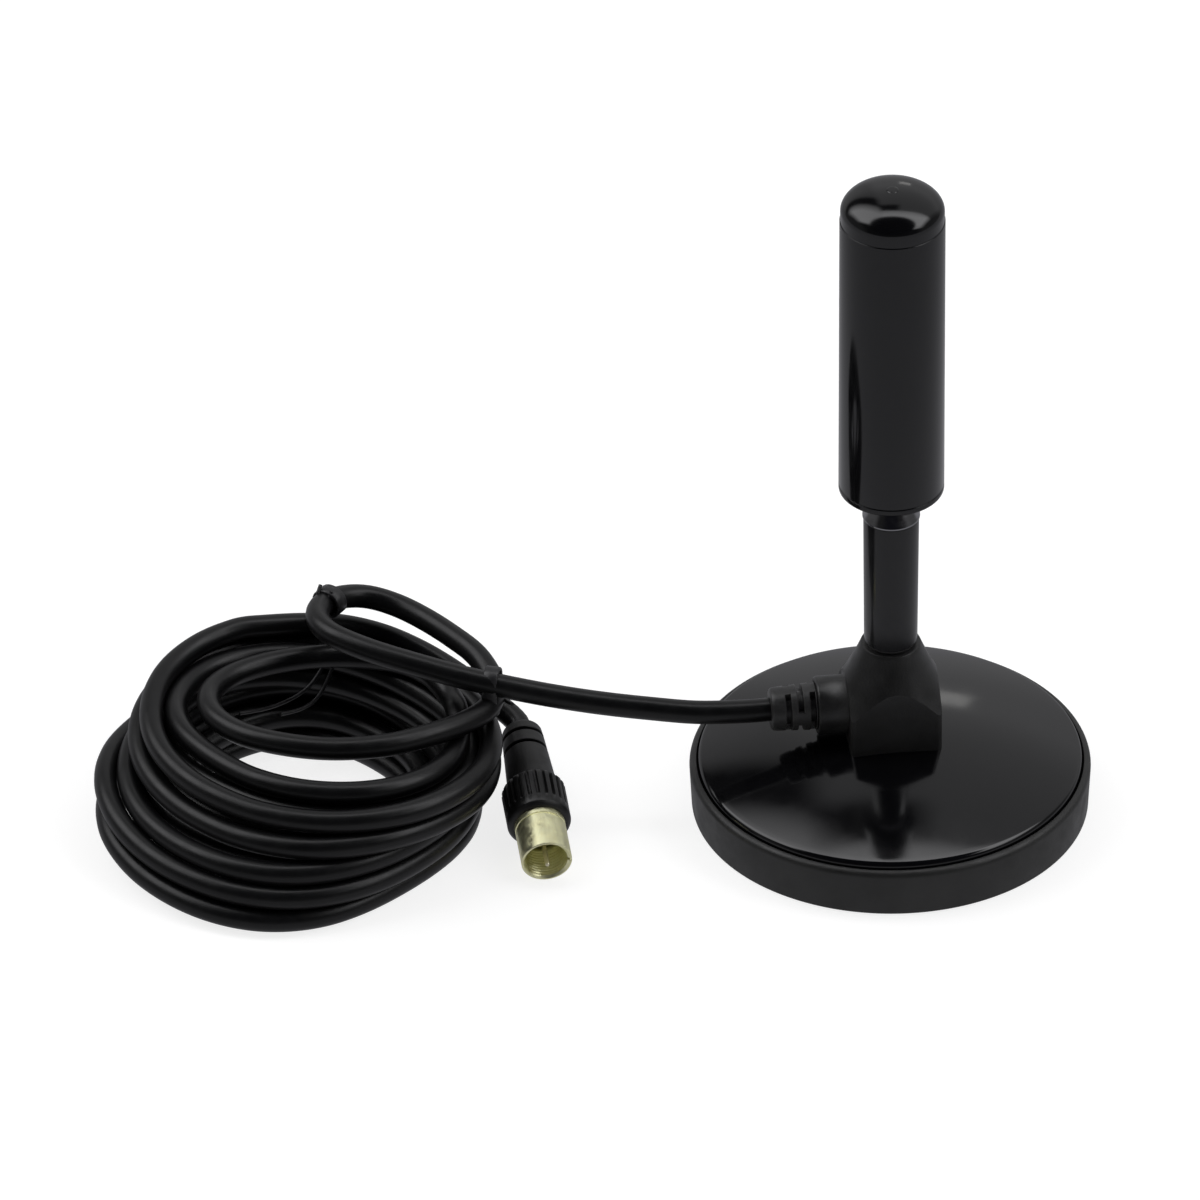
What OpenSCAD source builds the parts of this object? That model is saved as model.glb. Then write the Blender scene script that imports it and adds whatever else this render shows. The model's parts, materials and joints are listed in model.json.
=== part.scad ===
// Desk antenna for digital television: a magnetic base under a glossy dome, a square-to-round hub,
// a mast that screws onto the hub, and a coiled coaxial cable that ends in an F plug.
// Z is up, the origin is the centre of the base's underside, and the cable leaves towards -X.

/* [Base] */
// Outer diameter of the base
base_d = 85; // [82:1:90]
// Height of the rubber boot round the base
boot_h = 10.9; // [10.9:0.1:12]
// Height of the dome's crown above the desk
dome_h = 19.5; // [19:0.5:21]
// Outer diameter of the ring magnet
magnet_d = 70; // [60:1:72]

/* [Hub] */
// Width of the hub's square foot
hub_w = 19.5; // [19:0.5:21]
// Height of the hub's top above the desk
hub_top = 41.2; // [41:0.1:42]
// Height of the cable's centre line where it leaves the hub
exit_z = 26; // [25.8:0.1:26.2]

/* [Mast] */
// Height of the shoulder where the mast screws down
mast_z = 42; // [42:0.1:42.4]
// Diameter of the stem at its foot
stem_d = 11.3; // [11:0.1:12]
// Height of the underside of the thick radome
radome_z = 80.7; // [78:0.1:90]
// Outer diameter of the radome
radome_d = 22.3; // [22:0.1:24]
// Height of the crown of the cap, the top of the antenna
mast_top = 156.5; // [150:0.5:165]
// Lift of the mast as it screws off, the thread's engaged length
thread_l = 4.6; // [4.6:0.1:4.8]

/* [Cable] */
// Diameter of the coaxial cable
cable_d = 5; // [5:0.1:5.2]
// Outer radius of the coil
coil_r = 41.9; // [41:0.1:43]
// Height of the coil
coil_h = 27.5; // [27:0.5:29]

/* [Plug] */
// Diameter of the plug's ribbed grip
grip_d = 13.6; // [13.4:0.1:14]
// Outer diameter of the plug's metal nut
nut_d = 10.8; // [10.8:0.1:11]
// Length of the plug from the mouth of its nut to the back of its body
plug_l = 39.5; // [38:0.5:42]

/* [Hidden] */
$fn = 96;
eps = 0.01;

// Base
base_r = base_d / 2;
boot_floor = 1.5;
boot_wall = 1.9;
boot_draft = 0.6;
cover_r = base_r - boot_wall;
cover_wall = 1.8;
cover_edge_r = 1.3;
cover_edge_z = 11.02;
cover_edge_turn = 69;
seam_z = 8.9;
seam_gap = 0.3;
dome_r = 112.5;
dome_centre_z = dome_h - dome_r;
dome_hole_r = 4.5;
magnet_hole_r = 14;
magnet_h = 6;
magnet_top = boot_floor + magnet_h;
plate_r = 36.6;
plate_h = 1.3;
plate_top = magnet_top + plate_h;
boss_at = 10.5;
boss_r = 2.6;
boss_pilot_r = 1.1;
boss_depth = 5;
plate_screw_head_r = 2.1;
plate_screw_head_h = 1.3;

// Hub
hub_r = hub_w / 2;
hub_corner_r = 1.2;
hub_foot_z = 15;
hub_neck_r = 6.3;
hub_cavity_r = 5;
hub_cavity_top = 31.5;
hub_screw_at = 7.2;
hub_screw_r = 1.1;
hub_screw_head_r = 2;
hub_screw_head_h = 1.4;
hub_screw_top = 25;
tunnel_r = 3.6;
boss_outer_r = 6.25;
boss_x = 16;
relief_x = 25.7;
relief_tip_r = 4.6;
relief_root_r = 5.1;
relief_core_r = 3.4;
relief_foot_x = 11.5;
slot_w = 1.2;
slot_x = [16.9, 19.5, 22.1];
slot_land = 3.2;
slot_depth = relief_root_r + 1;

// Contact in the hub
stud_r = 3;
stud_flange_r = 4.6;
stud_flange_z = 30;
stud_flange_top = hub_cavity_top;
stud_top = mast_z + thread_l;
stud_bore_r = 1.7;
insert_bore_r = stud_r + 0.06;
spring_room_r = 1.35;
plunger_r = 0.8;
plunger_bore_r = 0.86;
plunger_flange_r = 1.25;
plunger_flange_h = 0.6;
plunger_flange_z = 34.4;
plunger_tail_r = 0.5;
plunger_tail_z = 32.4;
spring_room_top = plunger_flange_z + plunger_flange_h + thread_l + 0.1;
contact_z = stud_top + 0.4;
terminal_top = 30.9;
terminal_tail_r = 0.6;
terminal_lug_z = exit_z - 0.6;
terminal_flange_z = stud_flange_z + 0.2;
spring_wire_d = 0.3;
spring_r = 0.95;
spring_turns = 5;
core_r = 0.4;
dielectric_r = 1.5;
jacket_end_x = 7.5;
dielectric_end_x = 3;
crimp_x = 11;
crimp_r = 3;
crimp_start_x = jacket_end_x + 0.2;
ground_r = 0.22;
ground_x = 4.2;
washer_r = 5.2;
washer_bore_r = 3.1;

// Mast
stem_r = stem_d / 2;
stem_top_r = stem_r + 0.25;
stem_bore_r = 4.4;
stem_top = 73.5;
stem_chamfer = 0.3;
insert_top = 50.4;
bush_z = contact_z + 0.4;
bush_r = 2.3;
contact_r = 1;
contact_tail_r = 0.5;
contact_top = 53;
feed_r = 0.45;
feed_jacket_r = 1.4;
feed_top = 92;
coupler_z = 66;
coupler_top = 87;
coupler_r = 6.1;
coupler_land = 0.4;
coupler_waist_r = 4.2;
coupler_waist_z = 76.9;
coupler_waist_top = 79.2;
coupler_bore_r = 2.2;
coupler_spigot_r = 4.8;
radome_r = radome_d / 2;
radome_bore_r = 9.6;
foot_h = 1.6;
foot_spigot_h = 6;
foot_gap = 0.15;
cap_z = 149;
cap_r = radome_r - 0.15;
cap_spigot = 7;
cap_shoulder_r = 3;
cap_wall = 1.6;
cap_crown_r = 21;
board_w = 16;
board_t = 1.2;
board_y = 1.25;
board_z = 89;
board_h = 52.5;
trace_t = 0.15;
trace_w = 1.4;
meander_w = 12;
meander_n = 5;
meander_pitch = 4.2;
holder_h = 4;
holder_z = [93, 134];
slot_play = 0.1;

// Plug, in its own frame: z = 0 at the nut's mouth, z = plug_l at the back of the body
plug_x = -76;
plug_y = -19.8;
plug_z = 5.5;
plug_dip = 9;
nut_r = nut_d / 2;
nut_bore_r = 4.7;
nut_l = 15;
nut_web_z = 10.4;
nut_web_h = 1.8;
nut_groove_z = 9;
nut_groove_w = 0.6;
nut_groove_depth = 0.2;
nut_slit_w = 0.5;
nut_slit_l = 7;
grip_r = grip_d / 2;
grip_z = 10.9;
grip_top = 21.9;
grip_collar = 3;
grip_ribs = 24;
grip_rib_w = 0.95;
grip_rib_depth = 0.75;
grip_chamfer = 0.6;
body_nose_r = 4.2;
body_nose_gap = 0.25;
body_nose_z = 15.4;
body_front_r = 5.3;
body_back_r = 4.3;
body_round = 1.2;
body_bore_top = 30;
body_grooves = [3.3, 7.3];
body_groove_w = 0.8;
body_groove_depth = 0.7;
post_flange_r = 4.3;
post_flange_z = 8.8;
post_r = 3.3;
post_running = 0.12;
post_bore_r = 1.6;
post_top = 24;
pin_r = 0.5;
pin_out = 1.3;
pin_tip = 0.4;
pin_barrel_r = 0.8;
pin_barrel_z = post_flange_z - 0.4;
pin_top = 26;
ferrule_z = 25;
ferrule_top = 29.8;

// Cable routes, in millimetres, chosen by hand
cable_r = cable_d / 2;
LEAD_ROUTE = [
    [-25.7, 0, 26], [-31, 0, 26], [-41, 1.6, 25.2], [-51, 3.6, 25.4], [-61, 5.4, 27], [-71, 7.2, 29.4],
    [-81, 9, 32], [-90, 11.6, 33.6], [-99, 15.4, 35], [-107, 20, 36], [-114, 25.5, 36.6],
    [-118, 33, 36.4], [-116, 41, 34.6], [-109, 45, 32.6], [-101, 43.4, 31.2], [-94.4, 37.8, 30.6],
    [-89, 31, 30], [-84.6, 24, 28.8], [-82.4, 16.4, 26.8], [-84.4, 8.6, 26.4], [-90.4, 3, 26.8],
    [-98.6, -1.6, 27.6], [-108, -4.6, 28], [-119, -4.4, 28], [-129, -1.4, 28], [-137.6, 4.4, 27.6],
    [-142.8, 12.4, 27.2], [-142.6, 21, 26.6], [-136.6, 28, 26], [-127, 31.6, 25.4],
    [-116, 32.6, 24.6], [-105, 30, 23.6]
];
TAIL_ROUTE = [
    [-106, 45.4, 24], [-98, 42.6, 22.8], [-90.6, 37.6, 20.2], [-84.4, 32, 17.2], [-79.8, 26.8, 14.6],
    [-76.7, 22.6, 12.6], [-76, 19.2, 11.7]
];
COIL_CENTRE = [-125.5, 10.1];
TUBE_SIDES = 10;
SUBDIVISIONS = 2;
tie_w = 3.2;
tie_t = 0.7;
tie_left_at = [-116, 39.4, 33.4];
tie_left_turn = 110;
tie_left_gap = 0.4;
tie_right_at = [-83.4, 10.6, 29.6];
tie_right_turn = 160;
tie_right_gap = 5;

jacket_black = [0.07, 0.07, 0.075];
satin_black = [0.12, 0.12, 0.13];
gloss_black = [0.05, 0.05, 0.06];
champagne = [0.80, 0.76, 0.60];
brass = [0.85, 0.68, 0.32];
steel = [0.62, 0.63, 0.65];
copper = [0.80, 0.45, 0.28];
natural = [0.92, 0.91, 0.86];
ferrite = [0.2, 0.2, 0.22];
board_green = [0.16, 0.36, 0.2];

// Points along an arc about [x, y], from angle a0 to a1 in n steps
function arc(x, y, r, a0, a1, n) =
    [for (i = [0 : n]) let (a = a0 + (a1 - a0) * i / n) [x + r * cos(a), y + r * sin(a)]];

// Height of the dome's outer surface at radius r, and of its inner surface
function dome_at(r) = dome_centre_z + sqrt(dome_r * dome_r - r * r);
function dome_inside_at(r) = dome_centre_z + sqrt(pow(dome_r - cover_wall, 2) - r * r);

// Radius of the hub's flared top at h below the hub's top
function hub_flare(h) = hub_neck_r + 0.38 * h + 0.01 * h * h;

function unit(v) = v / norm(v);

// Smooth curve through b and c, with a and d beyond them
function curve(a, b, c, d, t) =
    0.5 * (2 * b + (c - a) * t + (2 * a - 5 * b + 4 * c - d) * t * t + (3 * b - a - 3 * c + d) * t * t * t);

function smooth(p, n) = [
    for (i = [0 : len(p) - 2], k = [0 : n - 1])
        curve(p[max(i - 1, 0)], p[i], p[i + 1], p[min(i + 2, len(p) - 1)], k / n),
    p[len(p) - 1]
];

// Ring of points round point i of path p, square to it
function ring(p, i, r, sides) =
    let (
        along = unit(p[min(i + 1, len(p) - 1)] - p[max(i - 1, 0)]),
        side = unit(cross(along, [0, 0, 1])),
        up = cross(side, along)
    )
    [for (k = [0 : sides - 1]) let (a = 360 * k / sides) p[i] + r * (cos(a) * side + sin(a) * up)];

module tube(p, r, sides) {
    last = len(p) - 1;
    polyhedron(
        points = [for (i = [0 : last]) each ring(p, i, r, sides)],
        faces = [
            [for (k = [0 : sides - 1]) sides - 1 - k],
            for (i = [0 : last - 1], k = [0 : sides - 1])
                let (a = i * sides + k, b = i * sides + (k + 1) % sides)
                each [[a, b, b + sides], [a, b + sides, a + sides]],
            [for (k = [0 : sides - 1]) last * sides + k]
        ]
    );
}

// A turned piece: a closed outline of [radius, height] spun round Z
module turned(outline) {
    rotate_extrude() polygon(outline);
}

module pipe(outer, bore, z0, z1) {
    turned([[bore, z0], [outer, z0], [outer, z1], [bore, z1]]);
}

module disc(r, z0, z1) {
    translate([0, 0, z0]) cylinder(r = r, h = z1 - z0);
}

// A pipe or a rod along -X at the cable's height, from x0 to x1 away from the mast's axis
module exit_pipe(outer, bore, x0, x1) {
    translate([0, 0, exit_z]) rotate([0, -90, 0]) pipe(outer, bore, x0, x1);
}

module exit_rod(r, x0, x1) {
    translate([0, 0, exit_z]) rotate([0, -90, 0]) disc(r, x0, x1);
}

module plug_place() {
    translate([plug_x, plug_y, plug_z]) rotate([plug_dip - 90, 0, 0]) children();
}

module base_boot() {
    foot_r = base_r - boot_draft;
    lip_r = cover_r + seam_gap;
    color(satin_black) turned(concat(
        [[0, 0]],
        arc(foot_r - 0.6, 0.6, 0.6, -90, 0, 4),
        arc(base_r - 1.4, boot_h - 1.4 - 0.1, 1.4, 0, 80, 8),
        [
            [lip_r, boot_h], [lip_r, seam_z + 0.3], [cover_r, seam_z],
            [cover_r, boot_floor], [0, boot_floor]
        ]
    ));
}

module magnet_ring() {
    color(ferrite) pipe(magnet_d / 2, magnet_hole_r, boot_floor, magnet_top);
}

module pole_plate() {
    color(steel) difference() {
        disc(plate_r, magnet_top, plate_top);
        for (a = [0 : 90 : 270]) rotate(a) translate([boss_at, 0, 0])
            disc(boss_pilot_r + 0.3, magnet_top - 1, plate_top + 1);
    }
}

module plate_screws() {
    color(steel) for (a = [0 : 90 : 270]) rotate(a) translate([boss_at, 0, 0]) {
        disc(plate_screw_head_r, magnet_top - plate_screw_head_h, magnet_top);
        disc(boss_pilot_r, magnet_top - eps, plate_top + boss_depth - 0.5);
    }
}

module dome_cover() {
    edge_x = cover_r - cover_edge_r;
    inner_r = cover_r - cover_wall;
    spring_r_out = edge_x + cover_edge_r * cos(cover_edge_turn);
    color(gloss_black) difference() {
        union() {
            turned(concat(
                [[inner_r, boot_floor], [cover_r, boot_floor]],
                arc(edge_x, cover_edge_z, cover_edge_r, 0, cover_edge_turn, 8),
                [for (i = [1 : 32]) let (r = spring_r_out * (1 - i / 32)) [r, dome_at(r)]],
                [for (i = [0 : 32]) let (r = (inner_r - 1.2) * i / 32) [r, dome_inside_at(r)]],
                [[inner_r, dome_inside_at(inner_r) - 1.2]]
            ));
            for (a = [0 : 90 : 270]) rotate(a) translate([boss_at, 0, 0])
                disc(boss_r, plate_top, dome_h - cover_wall - 0.3);
        }
        disc(dome_hole_r, 10, dome_h + 1);
        for (a = [0 : 90 : 270]) rotate(a) translate([boss_at, 0, 0])
            disc(boss_pilot_r, plate_top - 1, plate_top + boss_depth);
        for (a = [0 : 90 : 270]) rotate(a) translate([hub_screw_at, hub_screw_at, 0])
            disc(hub_screw_r + 0.15, 10, dome_h + 1);
    }
}

module hub_screws() {
    head_top = dome_inside_at(hub_screw_at * sqrt(2) + hub_screw_head_r);
    color(steel) for (a = [0 : 90 : 270]) rotate(a) translate([hub_screw_at, hub_screw_at, 0]) {
        disc(hub_screw_head_r, head_top - hub_screw_head_h, head_top);
        disc(hub_screw_r, head_top - eps, hub_screw_top);
    }
}

module hub_outline() {
    offset_r = hub_r - hub_corner_r;
    square(2 * [hub_r, offset_r], center = true);
    square(2 * [offset_r, hub_r], center = true);
    for (a = [0 : 90 : 270]) rotate(a) translate([offset_r, offset_r]) circle(r = hub_corner_r);
}

module hub_shell() {
    flare = hub_top - hub_foot_z;
    color(satin_black) difference() {
        union() {
            intersection() {
                translate([0, 0, hub_foot_z]) linear_extrude(flare) hub_outline();
                turned(concat(
                    [[0, hub_foot_z], [hub_flare(flare), hub_foot_z]],
                    [for (i = [0 : 16]) let (h = flare * (1 - i / 16)) [hub_flare(h), hub_top - h]],
                    [[0, hub_top]]
                ));
            }
            exit_rod(boss_outer_r, hub_r - 1, boss_x);
        }
        translate([0, 0, dome_centre_z]) sphere(r = dome_r, $fn = 200);
        disc(hub_cavity_r, hub_foot_z, hub_cavity_top);
        disc(stud_r, hub_foot_z, hub_top + 1);
        exit_rod(tunnel_r, 0, boss_x + 1);
        for (a = [0 : 90 : 270]) rotate(a) translate([hub_screw_at, hub_screw_at, 0])
            disc(hub_screw_r, hub_foot_z, hub_screw_top);
    }
}

module mast_stud() {
    color(brass) turned([
        [stud_bore_r, stud_flange_z], [stud_flange_r, stud_flange_z], [stud_flange_r, stud_flange_top],
        [stud_r, stud_flange_top], [stud_r, stud_top - 0.3], [stud_r - 0.3, stud_top],
        [stud_bore_r, stud_top]
    ]);
}

module stud_insulator() {
    color(natural) turned([
        [spring_room_r, stud_flange_z], [stud_bore_r, stud_flange_z], [stud_bore_r, stud_top - 0.6],
        [plunger_bore_r, stud_top - 0.6], [plunger_bore_r, spring_room_top],
        [spring_room_r, spring_room_top]
    ]);
}

module contact_spring() {
    low = terminal_top + spring_wire_d / 2;
    high = plunger_flange_z - spring_wire_d / 2;
    steps = spring_turns * 12;
    color(steel) tube(
        [for (i = [0 : steps]) let (a = 30 * i)
            [spring_r * cos(a), spring_r * sin(a), low + (high - low) * i / steps]],
        spring_wire_d / 2, 6
    );
}

module contact_plunger() {
    color(brass) turned([
        [0, plunger_tail_z], [plunger_tail_r, plunger_tail_z], [plunger_tail_r, plunger_flange_z],
        [plunger_flange_r, plunger_flange_z], [plunger_flange_r, plunger_flange_z + plunger_flange_h],
        [plunger_r, plunger_flange_z + plunger_flange_h], [plunger_r, contact_z - 0.3],
        [plunger_r - 0.3, contact_z], [0, contact_z]
    ]);
}

module core_terminal() {
    color(brass) turned([
        [0, terminal_lug_z], [terminal_tail_r, terminal_lug_z], [terminal_tail_r, terminal_flange_z],
        [spring_room_r, terminal_flange_z], [spring_room_r, terminal_top], [0, terminal_top]
    ]);
}

module core_wire() {
    color(copper) exit_rod(core_r, terminal_tail_r, dielectric_end_x);
}

module cable_dielectric() {
    color(natural) exit_rod(dielectric_r, dielectric_end_x, jacket_end_x);
}

module jacket_end() {
    color(jacket_black) exit_rod(cable_r, jacket_end_x, relief_x);
}

module braid_crimp() {
    color(steel) exit_pipe(crimp_r, cable_r, crimp_start_x, crimp_x);
}

module ground_wire() {
    wire_z = exit_z + (crimp_r + cable_r) / 2;
    color(copper) {
        translate([0, 0, wire_z]) rotate([0, -90, 0]) disc(ground_r, ground_x, crimp_start_x);
        translate([-ground_x, 0, 0]) disc(ground_r + 0.05, wire_z - ground_r - 0.1, stud_flange_z);
    }
}

module strain_relief() {
    color(jacket_black) difference() {
        union() {
            exit_pipe(tunnel_r, cable_r, relief_foot_x, boss_x + eps);
            translate([0, 0, exit_z]) rotate([0, -90, 0]) turned([
                [cable_r, boss_x], [relief_root_r, boss_x],
                [relief_tip_r, relief_x - 0.5], [relief_tip_r - 0.5, relief_x], [cable_r, relief_x]
            ]);
        }
        for (i = [0 : 2]) translate([-slot_x[i], 0, exit_z]) rotate([90 * (i % 2), 0, 0])
            for (s = [-1, 1]) difference() {
                translate([-slot_w / 2, (s - 1) * slot_depth / 2, -relief_root_r])
                    cube([slot_w, slot_depth, 2 * relief_root_r]);
                rotate([0, 90, 0]) cylinder(r = relief_core_r, h = 3 * slot_w, center = true);
                translate([-slot_w, -slot_land / 2, -relief_root_r - 1])
                    cube([2 * slot_w, slot_land, 2 * relief_root_r + 2]);
            }
    }
}

module seal_washer() {
    color(jacket_black) pipe(washer_r, washer_bore_r, hub_top, mast_z);
}

module stem_tube() {
    color(satin_black) turned([
        [stem_bore_r, mast_z], [stem_r - stem_chamfer, mast_z], [stem_r, mast_z + stem_chamfer],
        [stem_top_r, stem_top - stem_chamfer], [stem_top_r - stem_chamfer, stem_top],
        [stem_bore_r, stem_top]
    ]);
}

module thread_insert() {
    color(brass) turned([
        [insert_bore_r, mast_z], [stem_bore_r, mast_z], [stem_bore_r, insert_top],
        [bush_r, insert_top], [bush_r, contact_z], [insert_bore_r, contact_z]
    ]);
}

module contact_bush() {
    color(natural) pipe(bush_r, contact_r, bush_z, insert_top);
}

module mast_contact() {
    color(brass) turned([
        [0, contact_z], [contact_r + 0.5, contact_z], [contact_r + 0.5, bush_z], [contact_r, bush_z],
        [contact_r, insert_top], [contact_tail_r, insert_top], [contact_tail_r, contact_top],
        [0, contact_top]
    ]);
}

module feed_wire() {
    color(copper) disc(feed_r, contact_top, feed_top);
}

module feed_dielectric() {
    color(natural) pipe(feed_jacket_r, feed_r, contact_top + 1, coupler_top + 1);
}

module mast_coupler() {
    color(steel) turned([
        [coupler_bore_r, coupler_z], [stem_bore_r, coupler_z], [stem_bore_r, stem_top],
        [coupler_r, stem_top], [coupler_r, stem_top + coupler_land], [coupler_waist_r, coupler_waist_z],
        [coupler_waist_r, coupler_waist_top], [coupler_r, radome_z - coupler_land], [coupler_r, radome_z],
        [coupler_spigot_r, radome_z], [coupler_spigot_r, coupler_top], [coupler_bore_r, coupler_top]
    ]);
}

module radome_foot() {
    color(satin_black) turned([
        [coupler_spigot_r, radome_z], [radome_r - 0.4, radome_z], [radome_r, radome_z + 0.4],
        [radome_r, radome_z + foot_h - foot_gap], [radome_bore_r, radome_z + foot_h - foot_gap],
        [radome_bore_r, radome_z + foot_spigot_h], [radome_bore_r - 1.6, radome_z + foot_spigot_h],
        [radome_bore_r - 1.6, radome_z + foot_h + 0.6], [coupler_spigot_r, radome_z + foot_h + 0.6]
    ]);
}

module radome_tube() {
    color(satin_black) pipe(radome_r, radome_bore_r, radome_z + foot_h, cap_z);
}

module radome_cap() {
    crown_z = mast_top - cap_crown_r;
    shoulder_x = cap_r - cap_shoulder_r;
    shoulder_a = 70;
    edge_r = shoulder_x + cap_shoulder_r * cos(shoulder_a);
    crown_at = function (r) crown_z + sqrt(cap_crown_r * cap_crown_r - r * r);
    shoulder_z = crown_at(edge_r) - cap_shoulder_r * sin(shoulder_a);
    color(satin_black) turned(concat(
        [[radome_bore_r, cap_z - cap_spigot], [radome_bore_r, cap_z], [cap_r, cap_z]],
        arc(shoulder_x, shoulder_z, cap_shoulder_r, 0, shoulder_a, 10),
        [for (i = [1 : 12]) let (r = edge_r * (1 - i / 12)) [r, crown_at(r)]],
        [[0, mast_top - cap_wall], [radome_bore_r - 3, mast_top - cap_wall - 2]],
        [[radome_bore_r - cap_wall, cap_z], [radome_bore_r - cap_wall, cap_z - cap_spigot]]
    ));
}

module board_block(grow) {
    translate([-board_w / 2 - grow, board_y - board_t / 2 - grow, board_z])
        cube([board_w + 2 * grow, board_t + 2 * grow, board_h]);
}

module board_holders() {
    color(natural) difference() {
        for (z = holder_z) disc(radome_bore_r - 0.1, z, z + holder_h);
        board_block(slot_play);
        translate([0, board_y - board_t / 2 - trace_t, 0]) for (z = holder_z)
            translate([-board_w / 2, -1, z - 1]) cube([board_w, 1.2, holder_h + 2]);
    }
}

module element_board() {
    color(board_green) board_block(0);
}

module copper_traces() {
    face = board_y - board_t / 2;
    low = board_z + 3;
    color(copper) translate([0, face - trace_t, 0]) {
        translate([-trace_w / 2, 0, board_z + 1]) cube([trace_w, trace_t, 3]);
        for (i = [0 : meander_n]) translate([-meander_w / 2, 0, low + i * 2 * meander_pitch])
            cube([meander_w, trace_t, trace_w]);
        for (i = [0 : meander_n - 1]) let (side = i % 2 == 0 ? meander_w / 2 - trace_w : -meander_w / 2)
            translate([side, 0, low + i * 2 * meander_pitch])
                cube([trace_w, trace_t, 2 * meander_pitch + trace_w]);
    }
}

module solder_joint() {
    face = board_y - board_t / 2 - trace_t;
    color(steel) difference() {
        translate([0, face, feed_top - 0.6]) rotate([90, 0, 0]) cylinder(r1 = 1.1, r2 = 0.7, h = 0.8);
        disc(feed_r, feed_top - 4, feed_top);
    }
}

module plug_nut() {
    color(champagne) plug_place() difference() {
        turned([
            [nut_bore_r, 0], [nut_r - 0.2, 0], [nut_r, 0.2], [nut_r, nut_groove_z],
            [nut_r - nut_groove_depth, nut_groove_z], [nut_r - nut_groove_depth, nut_groove_z + nut_groove_w],
            [nut_r, nut_groove_z + nut_groove_w], [nut_r, nut_l], [body_nose_r + body_nose_gap, nut_l],
            [body_nose_r + body_nose_gap, nut_web_z + nut_web_h],
            [post_r + post_running, nut_web_z + nut_web_h], [post_r + post_running, nut_web_z],
            [nut_bore_r, nut_web_z]
        ]);
        translate([0, -nut_slit_w / 2, -1]) cube([nut_r + 1, nut_slit_w, nut_slit_l + 1]);
    }
}

module plug_grip() {
    color(satin_black) plug_place() difference() {
        turned([
            [nut_r, grip_z], [grip_r - grip_chamfer, grip_z], [grip_r, grip_z + grip_chamfer],
            [grip_r, grip_top - grip_chamfer], [grip_r - grip_chamfer, grip_top],
            [body_nose_r + body_nose_gap, grip_top], [body_nose_r + body_nose_gap, nut_l], [nut_r, nut_l]
        ]);
        for (i = [0 : grip_ribs - 1]) rotate(360 * i / grip_ribs)
            translate([grip_r - grip_rib_depth, -grip_rib_w / 2, grip_z + grip_collar])
                cube([2, grip_rib_w, grip_top]);
    }
}

module plug_post() {
    color(brass) plug_place() turned([
        [post_bore_r, post_flange_z], [post_flange_r, post_flange_z], [post_flange_r, nut_web_z - 0.1],
        [post_r, nut_web_z - 0.1], [post_r, post_top], [post_bore_r, post_top]
    ]);
}

module plug_body() {
    back = plug_l;
    slope = (body_front_r - body_back_r) / (back - grip_top);
    r_at = function (z) body_front_r - slope * (z - grip_top);
    color(satin_black) plug_place() turned(concat(
        [[post_r, body_nose_z], [body_nose_r, body_nose_z], [body_nose_r, grip_top + 0.25]],
        [[body_front_r, grip_top + 0.25]],
        [for (g = [body_grooves[1], body_grooves[0]], e = [0 : 3])
            let (z = back - g + (e < 2 ? -1 : 1) * body_groove_w / 2)
            [r_at(z) - (e == 1 || e == 2 ? body_groove_depth : 0), z]],
        arc(r_at(back) - body_round, back - body_round, body_round, 0, 90, 5),
        [[cable_r, back], [cable_r, body_bore_top], [post_r, body_bore_top]]
    ));
}

module plug_insulator() {
    color(natural) plug_place() pipe(post_bore_r, pin_barrel_r, pin_barrel_z, post_top);
}

module plug_pin() {
    color(brass) plug_place() turned([
        [0, -pin_out], [pin_r - 0.25, -pin_out], [pin_r, pin_tip - pin_out], [pin_r, pin_barrel_z],
        [pin_barrel_r, pin_barrel_z], [pin_barrel_r, pin_top], [0, pin_top]
    ]);
}

module plug_ferrule() {
    color(steel) plug_place() pipe(post_r, cable_r, ferrule_z, ferrule_top);
}

module plug_jacket_end() {
    color(jacket_black) plug_place() disc(cable_r, pin_top + 0.2, plug_l);
}

module cable_lead() {
    color(jacket_black) tube(smooth(LEAD_ROUTE, SUBDIVISIONS), cable_r, TUBE_SIDES);
}

module cable_tail() {
    color(jacket_black) tube(smooth(TAIL_ROUTE, SUBDIVISIONS), cable_r, TUBE_SIDES);
}

module cable_coil() {
    color(jacket_black) translate([COIL_CENTRE[0], COIL_CENTRE[1], 0]) turned([
        [27, 0.6], [28.5, 0], [coil_r - 1.5, 0], [coil_r, 2], [coil_r, 0.7 * coil_h],
        [coil_r - 1.4, coil_h - 2], [coil_r - 3.4, coil_h], [27, coil_h], [24.5, coil_h - 2.5], [25, 9]
    ]);
}

// A flat band round two strands that lie side by side, gap apart, in the plane square to its axis
module tie_band(gap) {
    linear_extrude(tie_w, center = true) difference() {
        hull() for (s = [-1, 1]) translate([0, s * gap / 2]) circle(r = cable_r + tie_t, $fn = 32);
        hull() for (s = [-1, 1]) translate([0, s * gap / 2]) circle(r = cable_r + 0.1, $fn = 32);
    }
}

module tie_left() {
    color(jacket_black) translate(tie_left_at) rotate([0, 90, tie_left_turn]) tie_band(tie_left_gap);
}

module tie_right() {
    color(jacket_black) translate(tie_right_at) rotate([0, 90, tie_right_turn]) rotate(90)
        tie_band(tie_right_gap);
}

base_boot();
magnet_ring();
pole_plate();
plate_screws();
dome_cover();
hub_screws();
hub_shell();
mast_stud();
stud_insulator();
contact_spring();
contact_plunger();
core_terminal();
core_wire();
cable_dielectric();
jacket_end();
braid_crimp();
ground_wire();
strain_relief();
seal_washer();
stem_tube();
thread_insert();
contact_bush();
mast_contact();
feed_wire();
feed_dielectric();
mast_coupler();
radome_foot();
radome_tube();
radome_cap();
board_holders();
element_board();
copper_traces();
solder_joint();
plug_nut();
plug_grip();
plug_post();
plug_body();
plug_insulator();
plug_pin();
plug_ferrule();
plug_jacket_end();
cable_lead();
cable_coil();
cable_tail();
tie_left();
tie_right();
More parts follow.
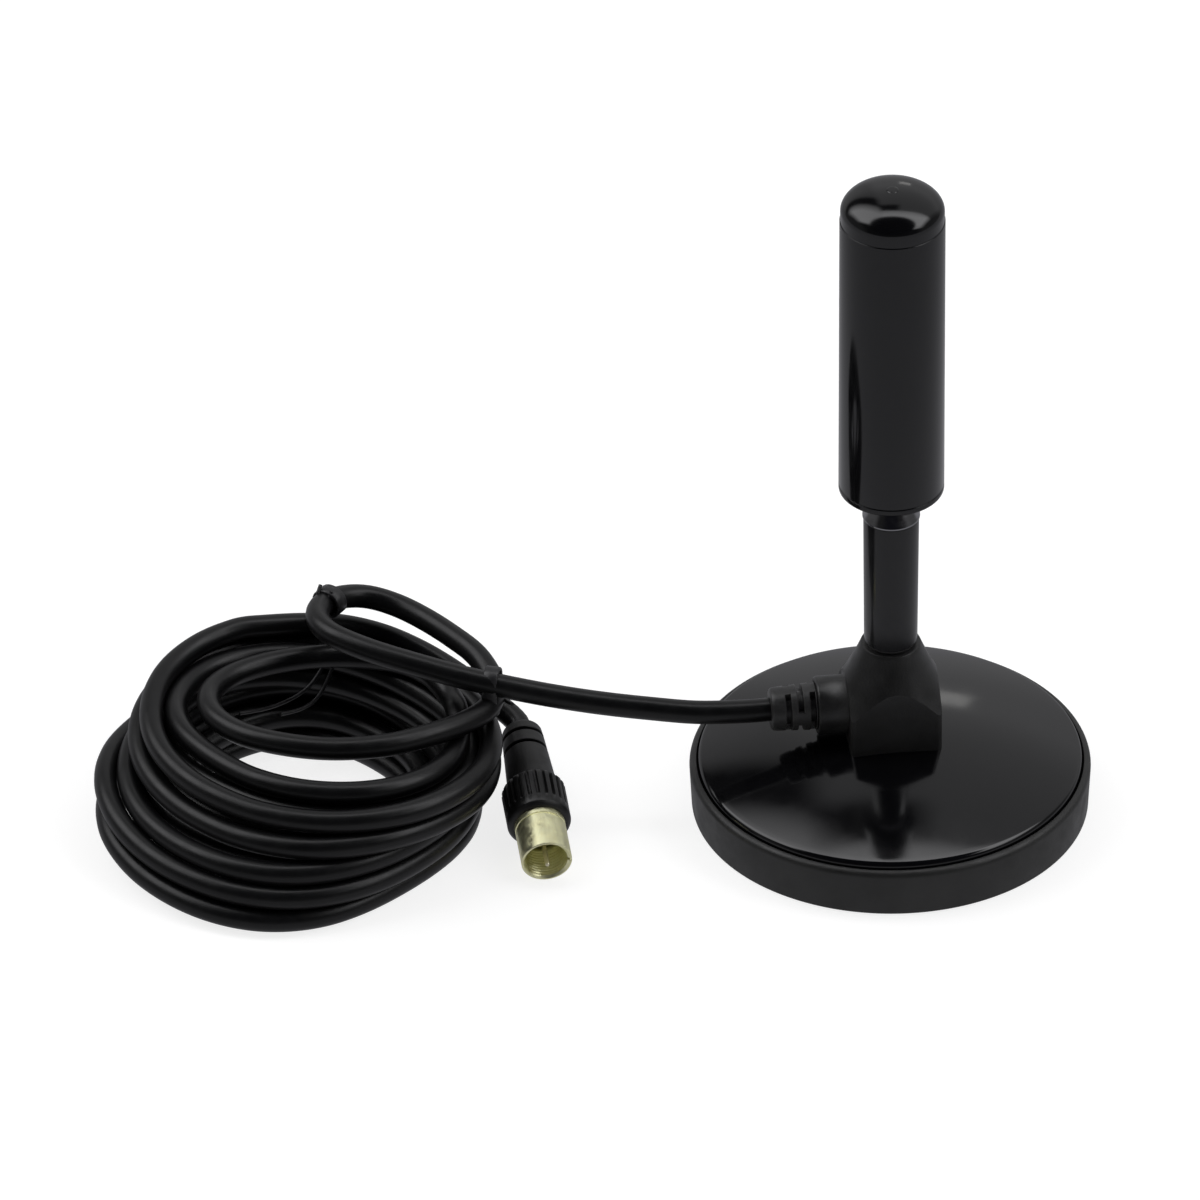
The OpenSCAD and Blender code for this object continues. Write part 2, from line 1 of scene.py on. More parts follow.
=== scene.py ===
"""Looks of the desk antenna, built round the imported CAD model. Metres, Z up, the same frame as the CAD."""
import math

import bmesh
import bpy
import numpy as np
from mathutils import Matrix, Vector
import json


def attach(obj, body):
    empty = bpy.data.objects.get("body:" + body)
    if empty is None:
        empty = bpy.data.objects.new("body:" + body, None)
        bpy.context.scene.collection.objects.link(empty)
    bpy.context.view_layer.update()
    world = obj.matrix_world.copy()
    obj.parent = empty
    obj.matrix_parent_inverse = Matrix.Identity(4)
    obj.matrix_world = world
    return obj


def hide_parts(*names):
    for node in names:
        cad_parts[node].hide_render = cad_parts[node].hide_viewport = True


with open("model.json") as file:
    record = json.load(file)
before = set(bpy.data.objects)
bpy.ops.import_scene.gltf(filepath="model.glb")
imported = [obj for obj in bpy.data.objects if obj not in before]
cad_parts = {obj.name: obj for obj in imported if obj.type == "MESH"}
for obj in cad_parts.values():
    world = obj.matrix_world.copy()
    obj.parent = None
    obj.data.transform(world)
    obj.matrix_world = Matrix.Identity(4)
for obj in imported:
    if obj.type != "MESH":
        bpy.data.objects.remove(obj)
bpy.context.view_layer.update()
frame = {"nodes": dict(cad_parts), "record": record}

MM = 0.001
SEGMENTS = 192


# ---------- camera

VIEW_AZIMUTH = -8
VIEW_ELEVATION = 35
LENS = 1400
SENSOR = 36
CLIP_NEAR, CLIP_FAR = 0.1, 100
PICTURE_WIDTH = 0.2537      # width of the picture at the object, in metres
FRAME_LEFT = 0.0613         # how far the picture's centre lies left of the base
FRAME_UP = 0.0423           # and above it


def new_object(name, data):
    piece = bpy.data.objects.new(name, data)
    bpy.context.collection.objects.link(piece)
    return piece


def view_axes(azimuth, elevation):
    """The camera's right, up and back for a view round the object."""
    a, e = math.radians(azimuth), math.radians(elevation)
    right = Vector((math.cos(a), math.sin(a), 0))
    back = Vector((math.sin(a) * math.cos(e), -math.cos(a) * math.cos(e), math.sin(e)))
    return right, back.cross(right), back


def make_camera():
    right, up, back = view_axes(VIEW_AZIMUTH, VIEW_ELEVATION)
    data = bpy.data.cameras.new("camera")
    data.lens, data.sensor_width = LENS, SENSOR
    data.clip_start, data.clip_end = CLIP_NEAR, CLIP_FAR
    distance = PICTURE_WIDTH * LENS / SENSOR
    camera = new_object("camera", data)
    camera.location = back * distance - right * FRAME_LEFT + up * FRAME_UP
    camera.rotation_mode = "QUATERNION"
    camera.rotation_quaternion = (-back).to_track_quat("-Z", "Y")
    bpy.context.scene.camera = camera


make_camera()


# ---------- mesh helpers

MERGE_DISTANCE = 1e-7       # points nearer than this become one, in metres
ON_AXIS = 1e-6              # a lathe's points nearer to its axis than this lie on it, in mm


def finish_mesh(name, points, faces, sharp_angle=35):
    """A closed mesh with smooth shading, sharp where its faces meet at more than sharp_angle."""
    bm = bmesh.new()
    made = [bm.verts.new(p) for p in points]
    for face in faces:
        bm.faces.new([made[i] for i in face])
    bmesh.ops.remove_doubles(bm, verts=bm.verts, dist=MERGE_DISTANCE)
    bmesh.ops.recalc_face_normals(bm, faces=bm.faces)
    limit = math.radians(sharp_angle)
    for edge in bm.edges:
        edge.smooth = len(edge.link_faces) == 2 and edge.calc_face_angle(0) < limit
    for face in bm.faces:
        face.smooth = True
    mesh = bpy.data.meshes.new(name)
    bm.to_mesh(mesh)
    bm.free()
    return new_object(name, mesh)


def rounded(outline, steps):
    """A closed outline of (radius, height) corners in mm, each rounded by its third number if it has one."""
    out = []
    count = len(outline)
    for i, corner in enumerate(outline):
        here = Vector(corner[:2])
        radius = corner[2] if len(corner) > 2 else 0
        if not radius:
            out.append(tuple(here))
            continue
        before = (Vector(outline[i - 1][:2]) - here).normalized()
        after = (Vector(outline[(i + 1) % count][:2]) - here).normalized()
        half = before.angle(after) / 2
        start = here + before * radius / math.tan(half)
        end = here + after * radius / math.tan(half)
        centre = here + (before + after).normalized() * radius / math.sin(half)
        a, b = start - centre, end - centre
        sweep = a.angle_signed(b)
        for k in range(steps + 1):
            turn = Matrix.Rotation(-sweep * k / steps, 2)
            out.append(tuple(centre + turn @ a))
    return out


def lathe(name, outline, segments=SEGMENTS, place=None, shape=None, sharp_angle=35):
    """Spins a closed outline (mm) round Z. shape(radius, angle, height, index) may change each radius."""
    points, faces = [], []
    rings = len(outline)
    for s in range(segments):
        a = 2 * math.pi * s / segments
        for i, (r, z) in enumerate(outline):
            r = shape(r, a, z, i) if shape else r
            points.append(Vector((r * math.cos(a), r * math.sin(a), z)) * MM)
    for s in range(segments):
        t = (s + 1) % segments
        for i in range(rings):
            j = (i + 1) % rings
            if outline[i][0] < ON_AXIS and outline[j][0] < ON_AXIS:
                continue
            quad = [s * rings + i, s * rings + j, t * rings + j, t * rings + i]
            if outline[i][0] < ON_AXIS:
                quad = quad[:3]
            elif outline[j][0] < ON_AXIS:
                quad = [quad[0], quad[1], quad[3]]
            faces.append(quad)
    piece = finish_mesh(name, points, faces, sharp_angle)
    if place is not None:
        piece.data.transform(place)
    return piece


def arc(x, y, r, a0, a1, steps):
    """Points on an arc about (x, y), angles in degrees."""
    turns = [math.radians(a0 + (a1 - a0) * k / steps) for k in range(steps + 1)]
    return [(x + r * math.cos(a), y + r * math.sin(a)) for a in turns]


def boolean(piece, cutter, operation):
    """Applies a boolean of cutter to piece and removes the cutter."""
    modifier = piece.modifiers.new("cut", "BOOLEAN")
    modifier.operation, modifier.solver, modifier.object = operation, "EXACT", cutter
    evaluated = piece.evaluated_get(bpy.context.evaluated_depsgraph_get())
    mesh = bpy.data.meshes.new_from_object(evaluated)
    piece.modifiers.clear()
    piece.data = mesh
    bpy.data.objects.remove(cutter)
    return piece


def box_mesh(name, low, high):
    """A plain block between two corners in mm, used only as a cutter."""
    x, y, z = zip(low, high)
    points = [Vector((a, b, c)) * MM for a in x for b in y for c in z]
    faces = [(0, 1, 3, 2), (4, 6, 7, 5), (0, 4, 5, 1), (2, 3, 7, 6), (0, 2, 6, 4), (1, 5, 7, 3)]
    return finish_mesh(name, points, faces)


def skin(rows, sides, closed=True):
    """Quads between neighbouring rows of points. Each row is a ring of sides points."""
    faces = []
    for i in range(rows if closed else rows - 1):
        j = (i + 1) % rows
        for k in range(sides):
            m = (k + 1) % sides
            faces.append([i * sides + k, j * sides + k, j * sides + m, i * sides + m])
    return faces


def tube_mesh(name, line, radius, sides):
    """A round tube along line, in metres."""
    points = []
    count = len(line)
    for i, here in enumerate(line):
        before = line[i - 1] if i else here
        after = line[i + 1] if i < count - 1 else here
        along = (after - before).normalized()
        side = along.cross(Vector((0, 0, 1))).normalized()
        top = side.cross(along)
        for k in range(sides):
            a = 2 * math.pi * k / sides
            points.append(here + radius * (math.cos(a) * side + math.sin(a) * top))
    faces = skin(count, sides, closed=False)
    faces.append(list(range(sides)))
    faces.append([(count - 1) * sides + k for k in range(sides)])
    return finish_mesh(name, points, faces, 60)


def band_mesh(name, line, across, width, thickness):
    """A flat strap along a closed line. across is the direction of its width."""
    points = []
    half_w, half_t, nick = width / 2, thickness / 2, thickness * 0.3
    right = [(half_w - nick, half_t), (half_w, half_t - nick)]
    right += [(x, -y) for x, y in reversed(right)]
    section = right + [(-x, -y) for x, y in right]
    count = len(line)
    for i, here in enumerate(line):
        along = (line[(i + 1) % count] - line[i - 1]).normalized()
        out = across.cross(along).normalized()
        points += [here + across * x + out * y for x, y in section]
    return finish_mesh(name, points, skin(count, len(section)), 50)


def along_x(z):
    """Lays a lathe's axis along -X at height z, in mm."""
    return Matrix.Translation((0, 0, z * MM)) @ Matrix.Rotation(math.radians(-90), 4, "Y")


# ---------- the cable

CABLE_D = 5.0
CABLE_R = CABLE_D / 2
# The cable's middle in mm: from the strain relief over both loops, and from the coil to the plug.
LEAD_ROUTE = [
    (-25.7, 0, 26), (-31, 0, 26), (-41, 1.6, 25.6), (-51, 3.6, 26.2), (-61, 5.4, 27.3), (-71, 7.2, 28.9),
    (-81, 9, 31), (-90, 11.6, 32.6), (-99, 15.4, 34), (-105.8, 18.8, 34.9), (-111.6, 22.9, 35.4),
    (-115.9, 27.4, 35.6), (-117.5, 33.2, 35.2), (-115.9, 39.2, 34.3), (-111.5, 43.5, 33), (-105.5, 45, 31.6),
    (-99.5, 42.8, 30.4), (-94, 37.6, 29.8), (-88.8, 30.8, 29.3), (-84.6, 24, 28.6), (-82.4, 16.4, 26.8),
    (-84.4, 8.6, 26.4), (-90.4, 3, 26.8), (-98.6, -1.6, 27.6), (-108, -4.6, 28), (-119, -4.4, 28),
    (-129, -1.4, 28), (-137.6, 4.4, 27.6), (-142.4, 12.4, 27.2), (-142.2, 21, 26.6), (-136.6, 28, 26),
    (-127, 32.2, 25.6), (-115.5, 33.2, 25.4), (-104.5, 31, 25.2), (-97, 26.6, 25), (-91.4, 18.2, 24.9),
]
TAIL_ROUTE = [
    (-120, 45.2, 25.6), (-111, 45.9, 24), (-102.5, 44.2, 22), (-95, 40.4, 19.8), (-88.6, 35.4, 17.6),
    (-83.4, 30, 15.6), (-79.4, 25.4, 13.9), (-76.7, 22, 12.6), (-76, 19.2, 11.7),
]
ROUTE_STEPS = 6             # parts between two points of a route
COIL_CENTRE = Vector((-125.5, 10.1))
COIL_STEPS = 80             # points in a turn
CUT_ENDS = 9                # the coil's points at each end that make way for a smooth entry
START_ANGLE = 40            # where the lead enters the coil, in degrees from +X
DOWN_TURNS = 4.1            # the inner column, wound from its top down
HEART_TURNS = 1.9           # a low column inside that one
CROSS_TURNS = 0.7           # out underneath to the outer column
UP_TURNS = 5.2              # the outer column, wound from the floor up
PITCH = 4.9
COIL_TOP = 5 * PITCH
STEP_START, STEP_PART = 0.80, 0.36      # the part of a turn in which the outer column climbs over itself
# The two columns' ovals, (to the right, away from the viewer): half sizes and the shift of their middle,
# at the floor and at the top, and how late on the way up they lean in.
OUTER_COLUMN = ((37.7, 39.4), (-1.7, -0.2), (34.2, 30.8), (7.2, 4.4), 1.6)
INNER_COLUMN = ((32.5, 34.2), (-1.6, -0.2), (31.0, 27.0), (5.3, 3.0), 0.6)
FOOT_SKEW, CROWN_SKEW = 1.8, -3.4       # bulge to the front left and back right, below and on top
FOOT_SQUEEZE = 1.7                      # how much flatter than an oval the lowest turns are between the axes
HEART_R = 27.6
HEART_LAG, HEART_BLEND = 0.4, 0.5       # turns before the heart sinks, and turns in which it narrows
# The slack of a hand-wound turn: (mm, waves in a turn, their shift from turn to turn, their start).
SIDE_WAVES = ((0.6, 1, 1.9, 0), (0.5, 2, -2.6, 0), (0.3, 3, 4.1, 0))
RISE_WAVES = ((0.7, 1, -2.3, 0.6), (0.5, 2, 1.7, 0))
RISE_FROM = 8               # height at which the upward slack is in full
CLEARANCE = 5.06            # least distance between the middles of two strands
SPACING = 2.5               # distance between points of the line while it settles
HELD_BACK, LET_GO = 12, 45  # where the settling starts before the coil, and the length in which it sets in
SETTLE_ROUNDS = 180
PAIRS_EVERY = 10            # rounds between two searches for strands that lie close together
PAIR_REACH, PAIR_SKIP = 7.5, 8          # how close, in mm, and how many points apart along the line at least
PUSHES, PUSH_PART, PUSH_LIMIT = 2, 0.7, 0.6
SMOOTHINGS, SMOOTH_PART = 3, 0.25
SINK = 0.006
SIDE_PUSH = 0.6             # how much of a push between strands goes sideways
TINY = 1e-9


def catmull(points, steps):
    """A smooth curve through points, with steps parts between each two."""
    out = []
    last = len(points) - 1
    p = [Vector(q) for q in points]
    for i in range(last):
        a, b, c, d = p[max(i - 1, 0)], p[i], p[i + 1], p[min(i + 2, last)]
        for k in range(steps):
            t = k / steps
            out.append(0.5 * (2 * b + (c - a) * t + (2 * a - 5 * b + 4 * c - d) * t ** 2
                              + (3 * b - a - 3 * c + d) * t ** 3))
    return out + [p[last]]


def ease(t):
    t = min(max(t, 0), 1)
    return t * t * (3 - 2 * t)


def slack(waves, a, turn):
    """The slack that waves give in a turn, at the angle a."""
    return sum(size * math.sin(count * a + shift * turn + start) for size, count, shift, start in waves)


def column_oval(column, height):
    """Half sizes, middle and lean of a column's oval at a height, 0 at the floor to 1 at the top."""
    foot_size, foot_shift, crown_size, crown_shift, bend = column
    lean = height ** bend
    size = Vector(foot_size).lerp(Vector(crown_size), lean)
    shift = Vector(foot_shift).lerp(Vector(crown_shift), lean)
    return Vector((size.x, size.y, shift.x, shift.y, lean))


def coil_stage(turn):
    """The height over the first turn and the shares of the inner column and of the heart, turn turns on."""
    heart_at = DOWN_TURNS
    cross_at = heart_at + HEART_TURNS
    up_at = cross_at + CROSS_TURNS
    crossing = ease((turn - cross_at) / CROSS_TURNS)
    heart = ease((turn - heart_at) / HEART_BLEND) * (1 - crossing)
    if turn < heart_at:
        return COIL_TOP - turn * (COIL_TOP - PITCH) / heart_at, 1, heart
    if turn < cross_at:
        return PITCH * (1 - ease((turn - heart_at - HEART_LAG) / (HEART_TURNS - HEART_BLEND))), 1, heart
    if turn < up_at:
        return 0, 1 - crossing, heart
    layer, part = divmod(turn - up_at - STEP_START, 1)
    return PITCH * (layer + ease(part / STEP_PART)) if layer >= 0 else 0, 0, heart


def coil_point(turn):
    """A point of the winding, turn turns after it starts, before the strands settle on each other."""
    level, inner, heart = coil_stage(turn)
    outer_oval = column_oval(OUTER_COLUMN, level / COIL_TOP)
    inner_oval = column_oval(INNER_COLUMN, level / COIL_TOP)
    width, depth, right_by, far_by, lean = outer_oval.lerp(inner_oval, inner)
    width += (HEART_R - width) * heart
    depth += (HEART_R - depth) * heart
    a = math.radians(START_ANGLE - 360 * turn)
    view = a - math.radians(VIEW_AZIMUTH)
    between = math.sin(2 * view)
    side = slack(SIDE_WAVES, a, turn)
    side += (FOOT_SKEW + (CROWN_SKEW - FOOT_SKEW) * lean) * between
    side -= FOOT_SQUEEZE * (1 - lean) * between ** 2
    x = right_by + (width + side) * math.cos(view)
    y = far_by + (depth + side) * math.sin(view)
    right, _, near = view_axes(VIEW_AZIMUTH, 0)
    place = COIL_CENTRE + (right * x - near * y).xy
    rise = max(slack(RISE_WAVES, a, turn), 0) * min(level / RISE_FROM, 1)
    return Vector((place.x, place.y, CABLE_R + level + rise))


def resampled(points, spacing):
    """The same line with its points evenly spaced."""
    points = np.array([tuple(p) for p in points])
    run = np.concatenate([[0], np.cumsum(np.linalg.norm(np.diff(points, axis=0), axis=1))])
    marks = np.linspace(0, run[-1], int(run[-1] / spacing) + 1)
    return np.stack([np.interp(marks, run, points[:, k]) for k in range(3)], axis=1)


def close_pairs(points, reach, skip):
    """Pairs of points nearer than reach that aren't neighbours along the line."""
    offsets = points[:, None, :] - points[None, :, :]
    first, second = np.nonzero((offsets ** 2).sum(axis=2) < reach * reach)
    apart = second - first > skip
    return first[apart], second[apart]


def push_apart(points, free, first, second):
    """Moves the pairs of points that are nearer than CLEARANCE away from each other."""
    offset = points[second] - points[first]
    distance = np.linalg.norm(offset, axis=1) + TINY
    share = free[first] + free[second] + TINY
    push = offset * (np.clip(CLEARANCE - distance, 0, None) * PUSH_PART / distance / share)[:, None]
    push[:, :2] *= SIDE_PUSH
    move = np.zeros_like(points)
    np.add.at(move, first, -push * free[first, None])
    np.add.at(move, second, push * free[second, None])
    return points + np.clip(move, -PUSH_LIMIT, PUSH_LIMIT)


def settle(start, free):
    """Lets the strands sink and pushes them apart until they rest. free is 0 where they are held."""
    points = start.copy()
    for count in range(SETTLE_ROUNDS):
        if count % PAIRS_EVERY == 0:
            first, second = close_pairs(points, PAIR_REACH, PAIR_SKIP)
        points[:, 2] -= SINK * free
        for _ in range(PUSHES):
            points = push_apart(points, free, first, second)
        moved = points - start
        for _ in range(SMOOTHINGS):
            moved[1:-1] += SMOOTH_PART * free[1:-1, None] * (moved[2:] + moved[:-2] - 2 * moved[1:-1])
        points = start + moved
        points[:, 2] = np.where(free > 0, np.maximum(points[:, 2], CABLE_R), points[:, 2])
    return points


def cable_line():
    """The middle of the whole cable in metres, from the strain relief to the plug."""
    turns = DOWN_TURNS + HEART_TURNS + CROSS_TURNS + UP_TURNS
    count = int(turns * COIL_STEPS)
    coil = [coil_point(turns * i / count) for i in range(count + 1)][CUT_ENDS:1 - CUT_ENDS]
    lead = catmull(LEAD_ROUTE + [tuple(coil[0])], ROUTE_STEPS)
    tail = catmull([tuple(coil[-1])] + TAIL_ROUTE, ROUTE_STEPS)
    line = resampled(lead[:-1] + coil + tail[1:], SPACING)
    run = np.arange(len(line)) * SPACING
    after_lead = (run - line_length(lead) + HELD_BACK) / LET_GO
    before_tail = (run[-1] - line_length(tail) + HELD_BACK - run) / LET_GO
    line = settle(line, np.clip(after_lead, 0, 1) * np.clip(before_tail, 0, 1))
    return [Vector(p) * MM for p in catmull([tuple(p) for p in line], 2)]


def line_length(line):
    return sum((b - a).length for a, b in zip(line, line[1:]))


def curve_tube(name, line, radius, resolution):
    data = bpy.data.curves.new(name, "CURVE")
    data.dimensions, data.bevel_depth, data.bevel_resolution = "3D", radius, resolution
    data.use_fill_caps = True
    spline = data.splines.new("POLY")
    spline.points.add(len(line) - 1)
    for point, where in zip(spline.points, line):
        point.co = (*where, 1)
    return new_object(name, data)


cable_path = cable_line()
cable = curve_tube("cable", cable_path, CABLE_R * MM, 8)


# ---------- materials

DARK_PATCH, PALE_PATCH = 0.82, 1.2      # plastic's colour in its patches, as a share of the whole
GLOSS_PATCH = 0.4                       # size of the uneven gloss, as a share of the patches
LEAST_ROUGHNESS = 0.04
STAINED = 0.72                          # a metal's colour where it is dull
STAIN_SIZE, STAIN_EDGE = 2.5, (0.45, 0.75)
METAL_GLOSS_SIZE = 1.2
METAL_GLOSS = (0.7, 1.4)                # the roughness of polished and dull spots, as a share of the whole
DUST = (0.30, 0.30, 0.28)
DUST_SHARE = 0.03                       # the share of spots that hold a speck
EDGE_POINTINESS = (0.53, 0.62)          # where an outer edge starts to look worn, and where it is fully worn
SPECK_EDGE = (0.03, 0.05)               # where a speck ends, as a share of the distance between spots


def cleared_tree(owner):
    owner.use_nodes = True
    owner.node_tree.nodes.clear()
    return owner.node_tree


def node_tree(name):
    material = bpy.data.materials.new(name)
    tree = cleared_tree(material)
    shader = tree.nodes.new("ShaderNodeBsdfPrincipled")
    output = tree.nodes.new("ShaderNodeOutputMaterial")
    tree.links.new(shader.outputs[0], output.inputs[0])
    return material, tree, shader


def calculated(tree, operation, *values):
    """The result of one math node. Each value is a number or a socket."""
    node = tree.nodes.new("ShaderNodeMath")
    node.operation = operation
    for socket, value in zip(node.inputs, values):
        if isinstance(value, (int, float)):
            socket.default_value = value
        else:
            tree.links.new(value, socket)
    return node.outputs[0]


def noise(tree, size, detail=3, stretch=(1, 1, 1)):
    """A noise whose features are about size mm across."""
    coordinates = tree.nodes.new("ShaderNodeTexCoord")
    mapping = tree.nodes.new("ShaderNodeMapping")
    mapping.inputs["Scale"].default_value = stretch
    texture = tree.nodes.new("ShaderNodeTexNoise")
    texture.inputs["Scale"].default_value = 1 / (size * MM)
    texture.inputs["Detail"].default_value = detail
    tree.links.new(coordinates.outputs["Object"], mapping.inputs[0])
    tree.links.new(mapping.outputs[0], texture.inputs["Vector"])
    return texture.outputs["Fac"]


def mapped(tree, value, low, high, start=0.3, end=0.7):
    """value's range from start to end, which is a noise's own if not given, turned into low to high."""
    node = tree.nodes.new("ShaderNodeMapRange")
    for socket, number in (("From Min", start), ("From Max", end), ("To Min", low), ("To Max", high)):
        node.inputs[socket].default_value = number
    tree.links.new(value, node.inputs["Value"])
    return node.outputs["Result"]


def mixed(tree, share, first, second):
    """A colour between two: share is a socket, first and second are colours or sockets."""
    node = tree.nodes.new("ShaderNodeMix")
    node.data_type = "RGBA"
    tree.links.new(share, node.inputs["Factor"])
    for socket, colour in (("A", first), ("B", second)):
        target = [s for s in node.inputs if s.name == socket and s.type == "RGBA"][0]
        if isinstance(colour, tuple):
            target.default_value = (*colour, 1)
        else:
            tree.links.new(colour, target)
    return [s for s in node.outputs if s.type == "RGBA"][0]


def bumped(tree, shader, height, depth, before=None):
    """Adds a bump of depth mm to the shader's normal, on top of the one before."""
    node = tree.nodes.new("ShaderNodeBump")
    node.inputs["Distance"].default_value = depth * MM
    tree.links.new(height, node.inputs["Height"])
    if before is not None:
        tree.links.new(before, node.inputs["Normal"])
    tree.links.new(node.outputs[0], shader.inputs["Normal"])
    return node.outputs[0]


def worn_edges(tree, colour, worn):
    """Mixes in a worn colour on outer edges."""
    geometry = tree.nodes.new("ShaderNodeNewGeometry")
    return mixed(tree, mapped(tree, geometry.outputs["Pointiness"], 0, 1, *EDGE_POINTINESS), colour, worn)


def specks(tree, colour, spacing):
    """Tiny pale specks of dust on a colour. Spots lie about spacing mm apart, and few of them hold one."""
    coordinates = tree.nodes.new("ShaderNodeTexCoord")
    cells = tree.nodes.new("ShaderNodeTexVoronoi")
    cells.inputs["Scale"].default_value = 1 / (spacing * MM)
    tree.links.new(coordinates.outputs["Object"], cells.inputs["Vector"])
    near = mapped(tree, cells.outputs["Distance"], 1, 0, *SPECK_EDGE)
    lucky = mapped(tree, cells.outputs["Color"], 0, 1, 1 - DUST_SHARE, 1 - DUST_SHARE + 0.01)
    return mixed(tree, calculated(tree, "MULTIPLY", near, lucky), colour, DUST)


def tint(colour, factor):
    return tuple(min(c * factor, 1) for c in colour)


def plastic(name, colour, roughness, grain, depth, patch, spread, wear=1.6, dust=None, specular=0.5,
            flow=None):
    """Moulded plastic or rubber: fine grain, uneven gloss in patches, paler edges and, if asked, dust.

    grain, its depth and patch are in mm, wear is how much paler the edges are, dust is the distance between
    spots that may hold a speck, and flow is the (size, depth) of the moulding's slow waves.
    """
    material, tree, shader = node_tree(name)
    patches = mapped(tree, noise(tree, patch), 0, 1)
    base = mixed(tree, patches, tint(colour, DARK_PATCH), tint(colour, PALE_PATCH))
    base = worn_edges(tree, base, tint(colour, wear))
    if dust:
        base = specks(tree, base, dust)
    tree.links.new(base, shader.inputs["Base Color"])
    low, high = max(roughness - spread, LEAST_ROUGHNESS), roughness + spread
    gloss = mapped(tree, noise(tree, patch * GLOSS_PATCH, 5), low, high)
    tree.links.new(gloss, shader.inputs["Roughness"])
    shader.inputs["Specular IOR Level"].default_value = specular
    normal = bumped(tree, shader, noise(tree, grain, 2), depth)
    if flow:
        bumped(tree, shader, noise(tree, flow[0], 2), flow[1], before=normal)
    return material


def metal(name, colour, roughness, brush=(1, 1, 12), grain=0.12, depth=0.004, stain=None):
    """Turned or plated metal: fine tool marks stretched by brush, uneven gloss and a little tarnish."""
    material, tree, shader = node_tree(name)
    dull = mapped(tree, noise(tree, STAIN_SIZE, 5), 0, 1, *STAIN_EDGE)
    base = mixed(tree, dull, colour, stain or tint(colour, STAINED))
    tree.links.new(base, shader.inputs["Base Color"])
    shader.inputs["Metallic"].default_value = 1
    gloss = mapped(tree, noise(tree, METAL_GLOSS_SIZE, 4), *(roughness * share for share in METAL_GLOSS))
    tree.links.new(gloss, shader.inputs["Roughness"])
    bumped(tree, shader, noise(tree, grain, 2, brush), depth)
    return material


PLASTICS = {
    "boot_rubber": dict(colour=(0.01, 0.01, 0.0095), roughness=0.46, grain=0.35, depth=0.02, patch=12,
                        spread=0.08, dust=11, wear=1.8, flow=(6, 0.03)),
    "dome_gloss": dict(colour=(0.0026, 0.0026, 0.0032), roughness=0.11, grain=0.5, depth=0.0006, patch=14,
                       spread=0.03, dust=9, wear=1.3, flow=(9, 0.006)),
    "ferrite": dict(colour=(0.055, 0.055, 0.06), roughness=0.7, grain=0.3, depth=0.03, patch=4, spread=0.1),
    "hub_matte": dict(colour=(0.009, 0.009, 0.009), roughness=0.4, grain=0.3, depth=0.022, patch=7,
                      spread=0.07, wear=1.9),
    "soft_pvc": dict(colour=(0.019, 0.019, 0.019), roughness=0.42, grain=0.3, depth=0.02, patch=5,
                     spread=0.08, wear=1.7),
    "cable_pvc": dict(colour=(0.0034, 0.0034, 0.0037), roughness=0.35, grain=0.5, depth=0.003, patch=7,
                      spread=0.04, wear=1.2, specular=0.34, flow=(9, 0.02)),
    "tie_plastic": dict(colour=(0.01, 0.01, 0.011), roughness=0.4, grain=0.4, depth=0.02, patch=3,
                        spread=0.08),
    "natural_plastic": dict(colour=(0.8, 0.78, 0.7), roughness=0.45, grain=0.5, depth=0.01, patch=5,
                            spread=0.08, wear=1.05),
    "stem_paint": dict(colour=(0.006, 0.006, 0.0068), roughness=0.18, grain=0.35, depth=0.004, patch=10,
                       spread=0.05, wear=1.3),
    "radome_plastic": dict(colour=(0.0028, 0.0028, 0.0034), roughness=0.11, grain=0.4, depth=0.001, patch=12,
                           spread=0.03, dust=12, wear=1.3, flow=(8, 0.008)),
    "board_green": dict(colour=(0.03, 0.16, 0.06), roughness=0.3, grain=0.2, depth=0.004, patch=5,
                        spread=0.06, wear=1.2),
    "plug_moulding": dict(colour=(0.0026, 0.0026, 0.0026), roughness=0.43, grain=0.3, depth=0.016, patch=5,
                          spread=0.07, wear=1.8),
}
METALS = {
    "zinc_steel": dict(colour=(0.60, 0.62, 0.66), roughness=0.32, stain=(0.46, 0.44, 0.40)),
    "bare_brass": dict(colour=(0.78, 0.58, 0.26), roughness=0.28, stain=(0.50, 0.33, 0.14)),
    "copper_wire": dict(colour=(0.78, 0.40, 0.24), roughness=0.30, stain=(0.44, 0.20, 0.12)),
    "collar_polished": dict(colour=(0.30, 0.30, 0.31), roughness=0.14, brush=(1, 1, 30), grain=0.2,
                            depth=0.002, stain=(0.24, 0.24, 0.25)),
    "solder": dict(colour=(0.72, 0.72, 0.74), roughness=0.22, brush=(1, 1, 1), grain=0.3, depth=0.01),
    "nut_champagne": dict(colour=(1.0, 0.985, 0.64), roughness=0.40, brush=(1, 1, 1), grain=0.6,
                          depth=0.001, stain=(0.94, 0.90, 0.54)),
    "pin_gold": dict(colour=(0.98, 0.92, 0.68), roughness=0.38, brush=(1, 1, 1), grain=0.2, depth=0.003),
}
MATERIALS = {name: plastic(name, **look) for name, look in PLASTICS.items()}
MATERIALS.update({name: metal(name, **look) for name, look in METALS.items()})
SLOT_OF = {part["node"]: part["material_slot"] for part in frame["record"]["subparts"]}


def dress(piece, slot):
    piece.data.materials.clear()
    piece.data.materials.append(MATERIALS[slot])
    return piece


def placed(piece, body, slot, *nodes):
    """Puts a finished piece on its body, in its material, in the place of its CAD nodes."""
    dress(piece, slot)
    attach(piece, body)
    if nodes:
        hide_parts(*nodes)
    return piece


for node_name, node_object in frame["nodes"].items():
    dress(node_object, SLOT_OF[node_name])


# ---------- base

